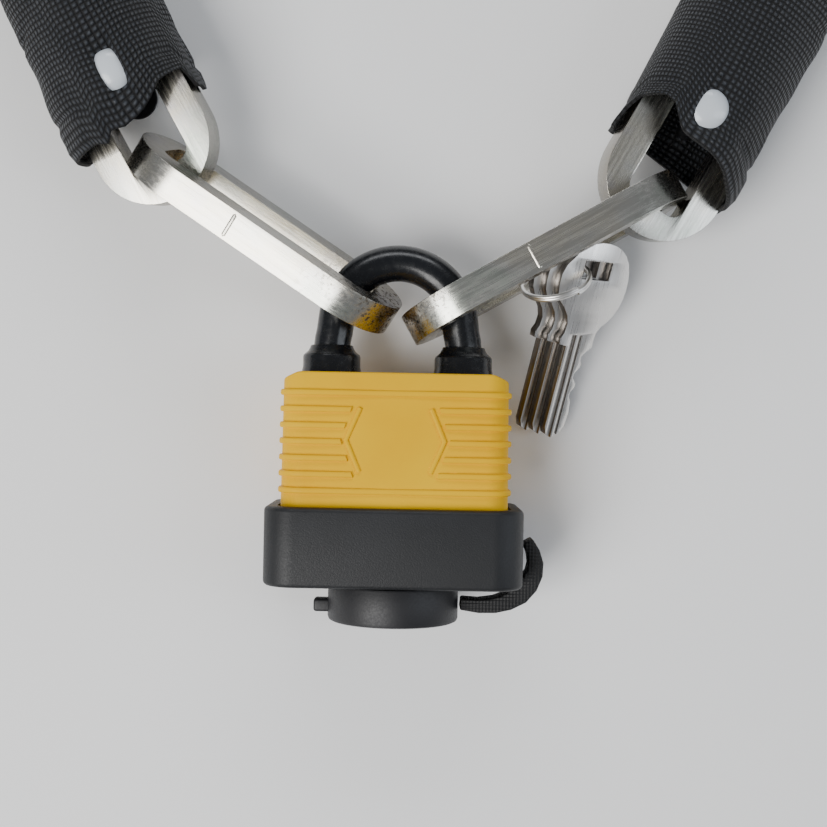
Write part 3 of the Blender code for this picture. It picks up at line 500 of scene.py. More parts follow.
# %% Strap with a knurled face
strap_rubber, tree, shader, place = new_material("strap_rubber", Roughness=0.6)
turned_place = node(tree, "Mapping", {"Vector": place, "Rotation": (0, 0, math.radians(45))}).outputs[0]
steps = node(tree, "SeparateXYZ", {"Vector": turned_place})
ridge_a = maths(tree, "SINE", maths(tree, "MULTIPLY", steps.outputs["X"], 5200.0))
ridge_b = maths(tree, "SINE", maths(tree, "MULTIPLY", steps.outputs["Y"], 5200.0))
knurl = maths(tree, "MULTIPLY", ridge_a, ridge_b)
strap_black = blend_colour(tree, remap(tree, knurl, -1, 1), (0.004, 0.004, 0.0045, 1),
                           (0.011, 0.011, 0.0115, 1))
tree.links.new(strap_black, shader.inputs["Base Color"])
bump(tree, shader, knurl, 0.6, 0.0002)
print("moulded finishes ready")

# %% [markdown]
# ## Metals
# The links are square steel bar with a bright zinc coat. It has faint rainbow tints, drawn
# streaks along the bar, and dark pits where it has worn. The keys are nickel and the hidden
# works are brushed steel and brass.

# %% Metal finishes
def plated_metal(name, colours, rough, pits, streak=(60.0, 1500.0, 1500.0), bump_strength=0.12,
                 side_shade_strength=0.6):
    """Plated metal with slow colour changes, drawn streaks, a share of dark pits and painted shade on its
    sides.
    """
    material, tree, shader, place = new_material(name, Metallic=1.0)
    bar_place = node(tree, "Attribute", attribute_name="bar_place").outputs["Vector"]
    grain = use_group(tree, grain_group, {"Vector": place, "Scale": 900.0})
    streaks = use_group(tree, streak_group, {"Vector": bar_place, "Stretch": streak})
    from_bow = node(tree, "VectorMath", {0: place, 1: lock(0, 62)}, operation="DISTANCE").outputs["Value"]
    by_shackle = remap(tree, from_bow, 34 * MM, 18 * MM)
    ramp = tree.nodes.new("ShaderNodeValToRGB")
    ramp.color_ramp.elements[0].color = (*colours[0], 1)
    ramp.color_ramp.elements[1].color = (*colours[-1], 1)
    for number, colour in enumerate(colours[1:-1], start=1):
        ramp.color_ramp.elements.new(number / (len(colours) - 1)).color = (*colour, 1)
    tree.links.new(remap(tree, grain.outputs["Patches"], 0.3, 0.7), ramp.inputs["Fac"])
    dark = remap(tree, grain.outputs["Height"], 0.66 - pits, 0.72 - pits)
    worn = maths(tree, "MULTIPLY", maths(tree, "MULTIPLY", dark, by_shackle),
                 remap(tree, grain.outputs["Patches"], 0.35, 0.5))
    shade = blend_colour(tree, worn, ramp.outputs["Color"], (0.09, 0.07, 0.05, 1))
    lined = blend_colour(tree, remap(tree, streaks.outputs["Streaks"], 0.35, 0.7, 0.12, 0.0),
                         shade, (0.25, 0.23, 0.2, 1))
    # Painted shade: points turned away from the broad face are darkened towards dark brown, standing in
    # for the dark room reflected in the plated sides.
    side = node(tree, "Attribute", attribute_name="painted_side_shade").outputs["Fac"]
    uneven = maths(tree, "MULTIPLY", side,
                   remap(tree, grain.outputs["Patches"], 0.3, 0.6, side_shade_strength * 0.8, side_shade_strength))
    tree.links.new(blend_colour(tree, uneven, lined, (0.075, 0.055, 0.04, 1)), shader.inputs["Base Color"])
    rough_here = remap(tree, streaks.outputs["Streaks"], 0.3, 0.7, rough - 0.07, rough + 0.1)
    rougher = maths(tree, "ADD", rough_here, maths(tree, "MULTIPLY", worn, 0.35))
    tree.links.new(rougher, shader.inputs["Roughness"])
    bump(tree, shader, streaks.outputs["Streaks"], bump_strength, 0.0001)
    return material


zinc_tints = [(0.56, 0.6, 0.53), (0.7, 0.69, 0.64), (0.74, 0.7, 0.6), (0.68, 0.65, 0.66)]
zinc = plated_metal("link_zinc", zinc_tints, 0.24, 0.12, bump_strength=0.06)
nickel = plated_metal("key_nickel", [(0.8, 0.78, 0.75), (0.9, 0.89, 0.87)], 0.3, 0.02,
                      (1500.0, 80.0, 1500.0), bump_strength=0.05, side_shade_strength=0.85)
steel = plated_metal("inner_steel", [(0.5, 0.5, 0.52), (0.62, 0.62, 0.63)], 0.34, 0.03, side_shade_strength=0.0)
brass = plated_metal("inner_brass", [(0.75, 0.56, 0.26), (0.84, 0.67, 0.36)], 0.3, 0.02, side_shade_strength=0.0)

# %% White rivet cap
white_cap, tree, shader, place = new_material("white_cap", Roughness=0.28, Coat_Weight=0.4,
                                              Coat_Roughness=0.1)
grain = use_group(tree, grain_group, {"Vector": place, "Scale": 600.0})
cap_white = blend_colour(tree, grain.outputs["Patches"], (0.56, 0.61, 0.66, 1), (0.72, 0.76, 0.8, 1))
# Below the cap's rim the colour goes near black: the post is dark steel, and its near black is painted
# shade from inside the sleeve. The washer lies lower and is all near black.
height = node(tree, "SeparateXYZ", {"Vector": place}).outputs["Z"]
dark_post_and_shade = (0.012, 0.012, 0.013, 1)
tree.links.new(blend_colour(tree, remap(tree, height, 31 * MM, 32 * MM), dark_post_and_shade, cap_white),
               shader.inputs["Base Color"])
bump(tree, shader, grain.outputs["Height"], 0.05, 0.0001)

# %% [markdown]
# ## Sleeve cloth
# Ballistic nylon is woven from thick, slightly shiny threads. The weave follows the cloth, so it
# reads the UV map, which is in metres along and round the tube.

# %% Nylon weave
nylon, tree, shader, place = new_material("sleeve_nylon", Sheen_Weight=0.02, Sheen_Roughness=0.5)
cloth_place = tree.nodes.new("ShaderNodeUVMap")
cloth_place.uv_map = "UVMap"
weave = use_group(tree, weave_group, {"Vector": cloth_place.outputs["UV"], "Cell": 0.0013})
grain = use_group(tree, grain_group, {"Vector": place, "Scale": 3000.0})
weave_and_highlight = blend_colour(tree, weave.outputs["Crossways"], (0.006, 0.0068, 0.009, 1), (0.012, 0.0133, 0.017, 1))
# Painted highlight: the crowns of the threads are lightened towards grey-blue.
weave_and_highlight = blend_colour(tree, remap(tree, weave.outputs["Height"], 0.72, 0.98), weave_and_highlight, (0.04, 0.045, 0.056, 1))
dust_and_highlight = blend_colour(tree, remap(tree, grain.outputs["Patches"], 0.45, 0.8, 0.0, 0.5), weave_and_highlight,
                     (0.02, 0.0215, 0.026, 1))
# Painted shade: the gaps between the threads are darkened to near black.
woven = blend_colour(tree, weave.outputs["Gaps"], dust_and_highlight, (0.0005, 0.0005, 0.0008, 1))
tree.links.new(woven, shader.inputs["Base Color"])
tree.links.new(remap(tree, weave.outputs["Height"], 0.3, 1.0, 0.85, 0.34), shader.inputs["Roughness"])
lumpy = maths(tree, "ADD", weave.outputs["Height"], maths(tree, "MULTIPLY", grain.outputs["Height"], 0.35))
bump(tree, shader, lumpy, 1.0, 0.0012)
print("materials", len(bpy.data.materials))

# %% [markdown]
# ## Yellow cover
# The cover is a moulded shell that is a little narrower at the top, with a soft ridge down its
# front. Bevelled blocks give its corners, and a second block cuts the hollow.

# %% Cover shell
cover = rounded_block("cover", lock(-28.7, 2.9, 3), lock(28.7, COVER_TOP, 35), 6 * MM, 10)
top = lock(0, COVER_TOP).y
pick(cover, "VERT", at_level(1, top))
bpy.ops.transform.resize(value=(0.983, 1, 0.983), center_override=lock(0, COVER_TOP))
done()
alone(cover)
bpy.ops.object.mode_set(mode="EDIT")
bpy.ops.mesh.select_all(action="SELECT")
bpy.ops.mesh.bisect(plane_co=lock(0, 0), plane_no=(1, 0, 0))
done()
pick(cover, "VERT", lambda points: abs(points[0].x - LOCK_ORIGIN.x) < 1e-6 and points[0].z > 30 * MM)
bpy.ops.transform.translate(value=(0, 0, 0.45 * MM))
done()
SLOPE_START, SLOPE = 24.2, 0.42
for side in (-1, 1):
    alone(cover)
    bpy.ops.object.mode_set(mode="EDIT")
    bpy.ops.mesh.select_all(action="SELECT")
    bpy.ops.mesh.bisect(plane_co=lock(side * SLOPE_START, 0), plane_no=(1, 0, 0))
    done()
for vertex in cover.data.vertices:
    beyond = abs(vertex.co.x - LOCK_ORIGIN.x) - SLOPE_START * MM
    if vertex.co.y > top - 0.1 * MM and beyond > 0:
        vertex.co.y -= SLOPE * beyond
pick(cover, "EDGE", lambda points: all(point.y > top - 2.2 * MM for point in points)
     and not along(1)(points) and max(abs(point.z - 19 * MM) for point in points) > 9 * MM)
bpy.ops.mesh.bevel(offset=0.6 * MM, segments=3, affect="EDGES")
done()
carve(cover, rounded_block("hollow", lock(-26.3, -5, 5.4), lock(26.3, 51.0, 32.6), 4 * MM, 4))
for side in (-1, 1):
    carve(cover, drum("bore", lock(side * 17, 52), 4.5 * MM, 8 * MM))
print("cover", len(cover.data.polygons))

# %% [markdown]
# Seven low ribs run round the cover and stop at a smooth six-sided panel on the front. One rib
# is made as a ring and copied, and the panel is then cut out of them all at once.

# %% Ribs and panel
def make_rib(y):
    """One rounded rib round the cover at a height."""
    narrow = 1 - 0.017 * y / COVER_TOP
    half_x, half_z = 28.7 * narrow, 16.0 * narrow
    rib = rounded_block("rib", lock(-half_x - 0.75, y - 0.75, MIDDLE - half_z - 0.75),
                        lock(half_x + 0.75, y + 0.75, MIDDLE + half_z + 0.95), 6.6 * MM, 10)
    round_edges(rib, 0.5 * MM, 3, 60)
    inside = rounded_block("inside", lock(-half_x + 0.4, y - 3, MIDDLE - half_z + 0.4),
                           lock(half_x - 0.4, y + 3, MIDDLE + half_z - 0.4), 5.6 * MM, 8)
    return carve(rib, inside)


ribs = put_together([make_rib(y) for y in (48.2, 44.1, 40.1, 36.1, 32.0, 28.0, 23.9)])
panel = drum("panel", lock(0, 36.7, 38), 13.6 * MM, 10 * MM, 6, "Z")
panel_middle, first_corner = lock(0, 36.7), panel.data.vertices[0].co
corner_angle = math.atan2(first_corner.y - panel_middle.y, first_corner.x - panel_middle.x)
panel.data.transform(Matrix.Translation(lock(0, 36.7, 0)) @ Matrix.Rotation(-corner_angle, 4, "Z")
                     @ Matrix.Translation(-lock(0, 36.7, 0)))
pick(panel, "VERT", lambda points: abs(points[0].y - lock(0, 36.7).y) > 3 * MM)
bpy.ops.transform.resize(value=(1.5, 0.83, 1), center_override=lock(0, 36.7, 38))
done()
carve(ribs, panel)
ridges = []
for side in (-1, 1):
    chevron = ((8.8, 28.7), (10.5, 32.6), (12.2, 36.5), (10.5, 40.5), (8.8, 44.5))
    bend = [lock(side * x, y, 35.0) for x, y in chevron]
    ridges.append(wire("ridge", bend, 0.7 * MM, 4))
cover = put_together([cover, ribs] + ridges)
smooth(cover, 32)
finish_piece(cover, "cover_body", yellow, "lock_body", "cover_shell")

# %% [markdown]
# ## Bumper, cap and strap
# The rubber bumper grips the cover's lower end. A round cap closes the keyway below it, has a
# small tab for a finger, and hangs from a strap on the right.

# %% Bumper
bumper = rounded_block("bumper", lock(-32.5, 0, 0), lock(32.5, 19.8, 38), 8 * MM, 14)
pick(bumper, "EDGE",
     lambda points: at_level(1, lock(0, 0).y)(points) or at_level(1, lock(0, 19.8).y)(points))
bpy.ops.mesh.bevel(offset=1.2 * MM, segments=4, affect="EDGES")
done()
carve(bumper, rounded_block("cup", lock(-29.35, 2.6, 2.65), lock(29.35, 30, 35.35), 6.4 * MM, 8))
carve(bumper, drum("boss", lock(0, -1.0), 10 * MM, 6 * MM), "UNION")
carve(bumper, drum("keyway", lock(0, -1.0), 5.4 * MM, 14 * MM))
smooth(bumper, 30)
finish_piece(bumper, "bumper_cup", bumper_rubber, "lock_body", "base_bumper")

# %% Keyway cap and strap
cap_line = [(0, -5), (10.4, -5), (10.4, -0.6), (10.7, -0.3), (16.2, -0.3), (16.6, -0.45), (16.8, -0.9),
            (16.8, -8.9), (16.5, -9.6), (15.9, -9.9), (0, -9.9)]
cap = turned("cap", cap_line, lock(0, 0))
tab = block("tab", lock(-20.4, -7.9, 16.4), lock(-15.8, -4.6, 21.6))
round_edges(tab, 0.7 * MM, 3)
carve(cap, tab, "UNION")
smooth(cap, 40)
finish_piece(cap, "keyway_cap_turned", cap_rubber, "cap", "keyway_cap")

strap_line = [(17.3, -5.2), (22, -5.7), (26, -5.4), (29.5, -4.4), (32.6, -2.6), (34.8, 0.0), (36.2, 2.9),
              (36.5, 5.6), (35.8, 8.5), (34.3, 11.2)]
inner, outer = [], []
for number, (x, y) in enumerate(strap_line):
    before, after = strap_line[max(number - 1, 0)], strap_line[min(number + 1, len(strap_line) - 1)]
    side = Vector((before[1] - after[1], after[0] - before[0])).normalized()
    thick = 2.5 - 1.1 * abs(number / (len(strap_line) - 1) - 0.5) * 2
    inner.append(((x + side.x * thick) * MM, (y + side.y * thick) * MM))
    outer.append(((x - side.x * thick) * MM, (y - side.y * thick) * MM))
strap = flat_shape("strap", [outer + inner[::-1]], 8 * MM)
strap.data.transform(Matrix.Translation(lock(0, 0)))
round_edges(strap, 0.45 * MM, 2, 50)
smooth(strap, 40)
finish_piece(strap, "strap_loop", strap_rubber, "lock_body", "cap_strap")

# %% [markdown]
# ## Shackle
# The steel bar is bent round a bow and coated, and each leg stands in a stepped boot. The coat
# is one round tube along the bar's middle line, and a boot is a turned profile.

# %% Coat and boots
bow = [lock(*place) for place in arc((0, 66.1), 16, 174, 6, 48)]
left_leg = [lock(-17, y) for y in (53.9, 56, 58, 60)] + [lock(-16.8, 62), lock(-16.35, 64.2)]
right_leg = [lock(16.35, 64.2), lock(16.8, 62)] + [lock(17, y) for y in (60, 58, 56, 53.9)]
coat = smooth(wire("coat", left_leg + bow + right_leg, 4.7 * MM, 10, caps=False), 60)
add_modifier(coat, "SOLIDIFY", thickness=0.5 * MM, offset=-1.0)
finish_piece(coat, "shackle_coat_tube", coat_vinyl, "shackle", "shackle_coat")
boot_line = [(4.9, 60.6), (5.3, 60.6), (5.5, 60.4), (5.6, 60.0), (6.1, 59.1), (6.9, 58.4), (7.25, 58.1),
             (7.4, 57.6), (7.4, 54.9), (7.6, 54.2), (7.65, 53.7), (4.9, 53.7), (4.9, 60.6)]
for side, label in ((-1, "left"), (1, "right")):
    boot = smooth(turned("boot", boot_line, lock(side * 17, 0)), 38)
    finish_piece(boot, f"boot_{label}", coat_vinyl, "shackle", f"shackle_boot_{label}")

# %% [markdown]
# ## Chain links that show
# A link is a slot outline in square bar with worn, rounded edges. It is laid flat, its edges are
# rounded, and it is then rolled and turned into its place, which the frame's boxes give.

# %% Link helpers
LINK_BAR, LINK_HALF = 8.0, 16.2
LONG_LINK, SHORT_LINK = 79.5, 66.0
LEFT_HEADING, RIGHT_HEADING = 119.6, -118.9


def keep_bar_place(piece):
    """Store each point's place on the straight piece, so that streaks follow it when turned."""
    stored = piece.data.attributes.new("bar_place", "FLOAT_VECTOR", "POINT")
    for value, vertex in zip(stored.data, piece.data.vertices):
        value.vector = vertex.co


def mark_sides(piece, face=Vector((0, 0, 1))):
    """Store how far each point faces away from a piece's rubbed face, for the painted shade on its sides.
    """
    stored = piece.data.attributes.new("painted_side_shade", "FLOAT", "POINT")
    for value, vertex in zip(stored.data, piece.data.vertices):
        value.value = 1.0 - min(1.0, max(0.0, (abs(vertex.normal.dot(face)) - 0.3) / 0.5))


def box_middle(name):
    """The middle of a frame part's box."""
    low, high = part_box(name)
    return (Vector(low) + Vector(high)) / 2


def visible_link(name, length, heading_deg, roll_deg, weld):
    """A link with rounded edges, a weld on one arm, and its place in the loop."""
    reach, half, bar = (length / 2 - LINK_HALF) * MM, LINK_HALF * MM, LINK_BAR * MM
    outside = arc((reach, 0), half, -90, 90, 28) + arc((-reach, 0), half, 90, 270, 28)
    corner, slot_x, slot_y = 3.2 * MM, (length / 2) * MM - bar, half - bar
    inside = []
    for quarter, (sx, sy) in enumerate([(1, 1), (-1, 1), (-1, -1), (1, -1)]):
        turn_middle = (sx * (slot_x - corner), sy * (slot_y - corner))
        inside += arc(turn_middle, corner, 90 * quarter, 90 * quarter + 90, 6)
    link = flat_shape(name, [outside, inside], bar)
    round_edges(link, 1.5 * MM, 5, 50)
    seam = block("seam", Vector((weld - 1.3, 8.1, -4.1)) * MM, Vector((weld + 1.3, 16.3, 4.1)) * MM)
    round_edges(seam, 1.25 * MM, 4)
    link = put_together([link, seam])
    smooth(link, 40)
    keep_bar_place(link)
    heading = Matrix.Rotation(math.radians(heading_deg), 4, "Z")
    roll = Matrix.Rotation(math.radians(roll_deg), 4, "X")
    link.data.transform(Matrix.Translation(box_middle(name)) @ heading @ roll)
    mark_sides(link)
    return link


# %% Four visible links
for name, length, heading_deg, roll_deg, body, weld in (
        ("long_link_left", LONG_LINK, 146.6, 74.0, "long_link_left", 6.0),
        ("long_link_right", LONG_LINK, 29.5, 88.0, "long_link_right", -4.0),
        ("link_01", SHORT_LINK, LEFT_HEADING, -13.0, "chain_near", 3.0),
        ("link_15", SHORT_LINK, RIGHT_HEADING, -11.0, "chain_near", 3.0)):
    finish_piece(visible_link(name, length, heading_deg, roll_deg, weld), name + "_bar", zinc, body, name)

# %% [markdown]
# ## Sleeve
# The sleeve is a cloth tube round the chain. Its middle line is a smooth curve through the
# middles of the links. A flat grid is wrapped into the tube, with folds where the loop bends,
# laps over each rivet's edge and a torn, uneven mouth.

# %% Middle line of the chain
HALF_PITCH, MOUTH_FROM_JOINT = 23.5, 17.0
centres = [box_middle(f"link_{number:02d}") for number in range(1, 16)]
start_way = Vector((math.cos(math.radians(LEFT_HEADING)), math.sin(math.radians(LEFT_HEADING)), 0))
end_heading = math.radians(180 + RIGHT_HEADING)
end_way = Vector((math.cos(end_heading), math.sin(end_heading), 0))
mouth_left = centres[0] - start_way * (HALF_PITCH - MOUTH_FROM_JOINT) * MM
mouth_right = centres[-1] - end_way * (HALF_PITCH - MOUTH_FROM_JOINT) * MM
controls = [mouth_left - start_way * 20 * MM, mouth_left, *centres,
            mouth_right, mouth_right - end_way * 20 * MM]


def spline_point(a, b, c, d, t):
    """A centripetal-like smooth curve from b to c."""
    return 0.5 * (2 * b + (c - a) * t + (2 * a - 5 * b + 4 * c - d) * t ** 2
                  + (3 * b - a - 3 * c + d) * t ** 3)


route = []
for a, b, c, d in zip(controls, controls[1:], controls[2:], controls[3:]):
    route += [spline_point(a, b, c, d, i / 24) for i in range(24)]
route.append(controls[-2])
route = [point for i, point in enumerate(route) if i == 0 or (point - route[i - 1]).length > 1e-7]
lengths = np.concatenate(([0.0], np.cumsum([(q - p).length for p, q in zip(route, route[1:])])))
TOTAL = float(lengths[-1])
route_xyz = np.array([tuple(point) for point in route])
print("sleeve length", round(TOTAL / MM, 1))


def middle_line(s):
    """The middle line's point, side direction and bend at a length from the left mouth."""
    def spot(value):
        return Vector([float(np.interp(value, lengths, route_xyz[:, k])) for k in range(3)])
    ahead, behind = spot(min(s + 3 * MM, TOTAL)), spot(max(s - 3 * MM, 0.0))
    way = (ahead - behind).normalized()
    before, after = spot(max(s - 14 * MM, 0.0)), spot(min(s + 14 * MM, TOTAL))
    here = spot(s)
    bend = (here - before).normalized().cross((after - here).normalized()).z
    return here, Vector((-way.y, way.x, 0.0)), way, bend


def length_at(point):
    """How far along the sleeve the nearest place to a point is."""
    return float(lengths[int(np.argmin(np.linalg.norm(route_xyz - np.array(tuple(point)), axis=1)))])


# %% Shape of the cloth
RIVET_LEFT, RIVET_RIGHT = box_middle("sleeve_rivet_left"), box_middle("sleeve_rivet_right")


MOUTHS = {  # places across the mouth, and how far its front and its back edge are drawn back there, in mm
    "left front": ((-1.0, -0.93, -0.85, -0.4, -0.2, 0.0, 0.15, 0.33, 0.47, 0.65, 1.0),
                   (-5.0, -6.0, -0.5, -1.5, -4.0, -6.2, -7.0, -5.8, -8.5, -6.5, -6.0)),
    "left back": ((-1.0, -0.7, 0.0, 0.6, 1.0), (-5.0, 5.0, 6.0, 3.0, -6.0)),
    "right front": ((-1.0, -0.95, -0.89, -0.5, -0.35, -0.1, 0.2, 0.55, 0.8, 1.0),
                    (-6.4, -1.0, 2.0, 4.2, 3.5, -1.5, -2.5, -4.5, -7.4, -9.5)),
    "right back": ((-1.0, -0.6, 0.4, 0.85, 1.0), (-6.4, -2.0, -5.0, -10.0, -9.5))}


def mouth_shift(side, u, front):
    """How far the mouth's edge is drawn back at a place across it."""
    places, drawn = MOUTHS[side + (" front" if front else " back")]
    return float(np.interp(u, places, drawn)) * MM


def rivet_height(side, sideways):
    """The cloth's height by a rivet: sunk under the cap, and lapping over the cap's edge."""
    reach = abs(sideways) if side == "left" else sideways + 0.6
    rise = min(1.0, max(0.0, (reach - 2.0) / 1.6))
    return (33.0 + 3.0 * rise * rise * (3 - 2 * rise)) * MM


def cloth_point(s, turn):
    """A point of the cloth at a length along the sleeve and a turn round it."""
    near_left, near_right = s, TOTAL - s
    near = min(near_left, near_right)
    side = "left" if near_left < near_right else "right"
    u, w = math.cos(turn), math.sin(turn)
    fade = math.exp(-near / (14 * MM))
    shift = mouth_shift(side, u, w > 0) * math.exp(-near / (17 * MM))
    moved = s + shift if side == "left" else s - shift
    here, across, way, bend = middle_line(max(0.0, min(TOTAL, s)))
    here = here + way * (moved - s)
    closing = min(1.0, near / (38 * MM)) ** 0.8
    wide = (18.5 - 0.6 * (1 - closing)) * MM
    tall = (18.2 - 2.6 * (1 - closing)) * MM
    square = 1.0 - 0.16 * (1 - closing) - 0.05
    x = wide * math.copysign(abs(u) ** square, u)
    z = tall * math.copysign(abs(w) ** square, w)
    slow = noise.noise(Vector((s / (30 * MM), 1.3 * u, 1.3 * w)))
    quick = noise.noise(Vector((s / (9 * MM) + 7, 2.0 * u, 2.0 * w + 3)))
    creases = noise.noise(Vector((s / (13 * MM) + 1.1 * u, 0.7 * w, 11.0)))
    inner = max(0.0, -bend * u * 3.2) if bend else 0.0
    gather = math.sin(2 * math.pi * s / (10.5 * MM) + 1.8 * slow + 0.8 * w) * min(inner, 1.0)
    crease = max(0.0, 0.16 - abs(creases)) / 0.16
    fold = (1.7 + 2.4 * fade) * slow + (0.6 + 0.8 * fade) * quick - 0.9 * crease + 0.75 * gather
    hem = 0.35 if 0.5 * MM < near < 6.5 * MM else 0.0
    stitch = -0.5 * math.exp(-((near - 7.0 * MM) / (0.7 * MM)) ** 2)
    out = (max(min(fold + 0.25, 2.8), -0.1) + hem + stitch) * MM
    middle_dip = math.exp(-((u + 0.05) / 0.34) ** 2) * fade * (2.6 if side == "left" else 0.6) * MM
    z -= math.copysign(min(middle_dip, abs(z) * 0.3), w)
    point = here + across * (x + out * u) + Vector((0, 0, z + out * w))
    rivet, drawn = (RIVET_LEFT, start_way) if side == "left" else (RIVET_RIGHT, end_way)
    apart = Vector((point.x - rivet.x, point.y - rivet.y, 0)) / MM
    if apart.length < 26:
        lengthways, sideways = apart.dot(drawn), apart.dot(Vector((-drawn.y, drawn.x, 0)))
        if w > 0:
            held = math.exp(-(lengthways / 7.5) ** 4 - (sideways / 8.0) ** 4)
            point.z += (rivet_height(side, sideways) - point.z) * held
        else:
            point.z += 3.0 * math.exp(-(sideways / 2.6) ** 2 - (lengthways / 6.2) ** 2) * MM
    point.z = max(point.z, 1.25 * MM)
    return point


# %% Wrapping the cloth
def sleeve_piece(name, start, end, bodies, start_blend, end_blend, nodes, rests_on):
    """A length of sleeve: a grid wrapped into a tube, with a wall and a UV map. Its blend places are not
    used.
    """
    rows = max(8, int((end - start) / (1.7 * MM)))
    around = 88
    bpy.ops.object.select_all(action="DESELECT")
    bpy.ops.mesh.primitive_grid_add(x_subdivisions=around, y_subdivisions=rows, size=1)
    cloth = bpy.context.object
    cloth.name = name
    mesh = cloth.data
    flat = np.array([tuple(vertex.co) for vertex in mesh.vertices])[:, :2] + 0.5
    uv = mesh.uv_layers.active or mesh.uv_layers.new(name="UVMap")
    uv.name = "UVMap"
    for loop in mesh.loops:
        across_share, along_share = flat[loop.vertex_index]
        uv.data[loop.index].uv = (across_share * 0.1166, start + (end - start) * along_share)
    for vertex, (across_share, along_share) in zip(mesh.vertices, flat):
        turn = 2 * math.pi * (across_share % 1.0) + math.pi / 2 + math.pi
        vertex.co = cloth_point(start + (end - start) * along_share, turn)
    clean(cloth)
    add_modifier(cloth, "SOLIDIFY", thickness=0.9 * MM, offset=-1.0, use_even_offset=False)
    smooth(cloth, 70)
    finish_piece(cloth, name, nylon, None)
    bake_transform(cloth)
    if nodes:
        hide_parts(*nodes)
    return cloth


def between(first, second):
    """Two places either side of the joint between two links."""
    joint = (centres[first - 1] + centres[second - 1]) / 2
    way = (centres[second - 1] - centres[first - 1]).normalized()
    return joint - way * 9 * MM, joint + way * 9 * MM


def stop_at(first, second):
    return length_at((centres[first - 1] + centres[second - 1]) / 2)


sleeve_piece("sleeve_left_near", 0.0, stop_at(2, 3), ("chain_near", "chain_low"), *between(1, 2),
             ("sleeve_end_left", "sleeve_low_left"), ["link_01", "link_02"])
sleeve_piece("sleeve_left_high", stop_at(2, 3), stop_at(4, 5), ("chain_low", "chain_high"), *between(3, 4),
             ("sleeve_high_left",), ["link_03", "link_04"])
sleeve_piece("sleeve_left_far", stop_at(4, 5), length_at(centres[7]), ("chain_high", "chain_far"),
             *between(5, 6), ("sleeve_far",), ["link_05", "link_06", "link_07"])
sleeve_piece("sleeve_right_far", length_at(centres[7]), stop_at(11, 12), ("chain_far", "chain_high"),
             *between(10, 11), (), ["link_09", "link_10", "link_11"])
sleeve_piece("sleeve_right_high", stop_at(11, 12), stop_at(13, 14), ("chain_high", "chain_low"),
             *between(12, 13), ("sleeve_high_right",), ["link_12", "link_13"])
sleeve_piece("sleeve_right_near", stop_at(13, 14), TOTAL, ("chain_low", "chain_near"), *between(14, 15),
             ("sleeve_end_right", "sleeve_low_right"), ["link_14", "link_15"])

# %% [markdown]
# ## Sleeve rivets
# A snap rivet holds each sleeve end to its link. Its light domed cap sits in a dip of the cloth.

# %% Rivets
for side, spot in (("left", RIVET_LEFT), ("right", RIVET_RIGHT)):
    dome = [(0, 35.2), (1.6, 35.1), (3.2, 34.75), (4.5, 34.1), (5.2, 33.4), (5.45, 32.8), (5.4, 32.4),
            (2.5, 32.3), (2.5, 3.5), (0, 3.5)]
    rivet = turned("rivet", dome, Vector((spot.x, spot.y, 0)), axis="Z")
    finish_piece(smooth(rivet, 40), f"rivet_{side}", white_cap, "chain_near", f"sleeve_rivet_{side}")
    washer = turned("washer", [(0, 1.1), (5.3, 1.1), (5.5, 0.9), (5.2, 0.6), (3.5, 0.45), (0, 0.4)],
                    Vector((spot.x, spot.y, 0)), axis="Z")
    finish_piece(smooth(washer, 40), f"washer_{side}", white_cap, "chain_near", f"rivet_cap_{side}")

# %% [markdown]
# ## Keys and ring
# The keys are cut from flat nickel bar: a broad head with a slot, a neck, and a blade with a
# milled groove and cuts on one edge. One key is made and copied. The ring is two turns of wire.

# %% One key
rise, lean, way = math.radians(17.0), math.radians(35.0), math.radians(78.1)
key_along = Vector((math.cos(way) * math.cos(rise), math.sin(way) * math.cos(rise), math.sin(rise)))
key_face = Vector((math.sin(way) * math.sin(lean), -math.cos(way) * math.sin(lean), math.cos(lean)))
key_face = (key_face - key_along * key_face.dot(key_along)).normalized()
key_across = key_along.cross(key_face)
key_turn = Matrix((key_across, key_along, key_face)).transposed().to_4x4()
head = [(-8.2, 3.2), (-6.9, 4.9), (-5.2, 6.0), (-3.0, 6.9), (-0.5, 7.4), (2.2, 7.4), (4.6, 6.9),
        (6.8, 6.0), (8.6, 4.6), (10.1, 2.7), (11.0, 0.4), (11.5, -2.0), (11.6, -4.6), (11.3, -7.2),
        (10.6, -9.6), (9.4, -11.7), (7.8, -13.6), (6.2, -14.9), (5.2, -16.4), (4.9, -18.4), (4.9, -20.8)]
cuts = [(3.4, -22.0), (2.2, -23.2), (2.2, -24.4), (2.9, -25.6), (2.5, -26.6), (1.2, -28.2), (1.2, -29.4),
        (2.6, -31.0), (2.6, -32.0), (1.5, -33.4), (1.5, -34.6), (2.4, -36.0), (2.9, -39.0), (2.6, -43.2),
        (1.4, -45.0), (-1.2, -46.4), (-3.2, -45.4), (-4.0, -43.4)]
back = [(-4.0, -20.6), (-6.4, -20.2), (-6.5, -18.6), (-5.6, -17.0), (-5.4, -14.6), (-6.2, -12.4),
        (-7.8, -10.4), (-9.9, -8.6), (-11.0, -6.6), (-11.4, -4.0), (-11.3, -1.6), (-10.3, 0.9)]
slot = [(4.7, 2.5), (-4.7, 2.5), (-4.7, -2.5), (4.7, -2.5)]
outlines = [[(x * MM, y * MM) for x, y in outline] for outline in (head + cuts + back, slot)]
master = flat_shape("key", outlines, 2.2 * MM)
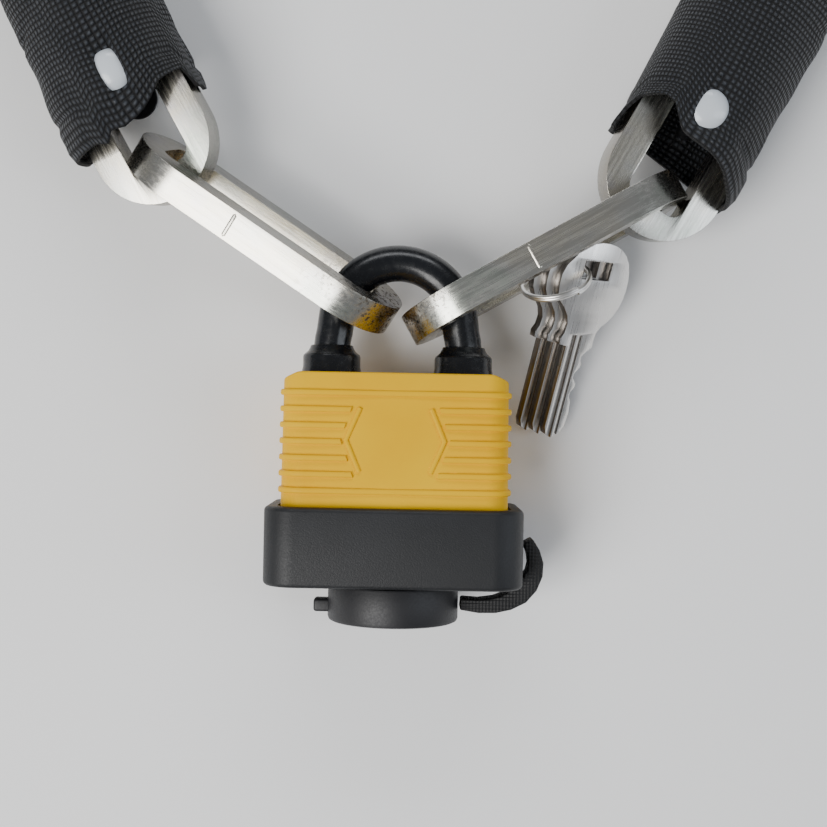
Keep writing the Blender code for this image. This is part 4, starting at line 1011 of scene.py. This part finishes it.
for low_x, high_x, low_y, depth in ((-2.9, -1.3, -47, 0.7), (-0.3, 0.5, -47, 0.45)):
    for side in (-1, 1):
        edge = side * (1.1 - depth)
        low_z, high_z = min(edge, side * 2), max(edge, side * 2)
        groove = block("groove", Vector((low_x, low_y, low_z)) * MM, Vector((high_x, -17.5, high_z)) * MM)
        carve(master, groove)
round_edges(master, 0.22 * MM, 2, 40)
smooth(master, 35)
keep_bar_place(master)
print("key", len(master.data.polygons))

# %% Three keys and their ring
turned_points = [tuple(key_turn @ vertex.co) for vertex in master.data.vertices]
outline_middle = Vector([(min(values) + max(values)) / 2 for values in zip(*turned_points)])
for name in ("key_front", "key_middle", "key_back"):
    key = bpy.data.objects.new(name + "_cut", master.data.copy())
    bpy.context.scene.collection.objects.link(key)
    key.data.transform(Matrix.Translation(box_middle(name) - outline_middle) @ key_turn)
    mark_sides(key, key_face)
    finish_piece(key, name + "_cut", nickel, name, name)
bpy.data.objects.remove(master)

ring_trace = Vector((0.95, 0.31, 0.0)).normalized()
ring_normal = ring_trace.cross(key_face).normalized()
ring_normal = ring_normal if ring_normal.y > 0 else -ring_normal
ring_turn = ring_normal.to_track_quat("Z", "Y").to_matrix().to_4x4()
RING_RADIUS = 8.7 * MM
coil = []
for step in range(129):
    angle = 2 * math.pi * step / 64 + 2.0
    climb = (step / 128 - 0.5) * 1.25 * MM
    coil.append(Vector((RING_RADIUS * math.cos(angle), RING_RADIUS * math.sin(angle), climb)))
ring = wire("ring", coil, 0.6 * MM, 5)
ring.data.transform(Matrix.Translation(box_middle("key_ring")) @ ring_turn)
finish_piece(smooth(ring, 50), "split_ring", nickel, "key_ring", "key_ring")

# %% [markdown]
# ## Hidden works
# The plates, plug, pins, springs and the rest of the chain stay as the frame has them. They show
# only when the lock opens, and get the finishes of steel, brass and zinc.

# %% Finishes on frame parts
brass_parts = {"cylinder_housing", "plug", "key_pin_1", "key_pin_2", "key_pin_3", "key_pin_4"}
for name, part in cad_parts.items():
    finish = brass if name in brass_parts else zinc if name.startswith("link_") else steel
    part.data.materials.clear()
    part.data.materials.append(finish)
print("frame parts", len(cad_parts))
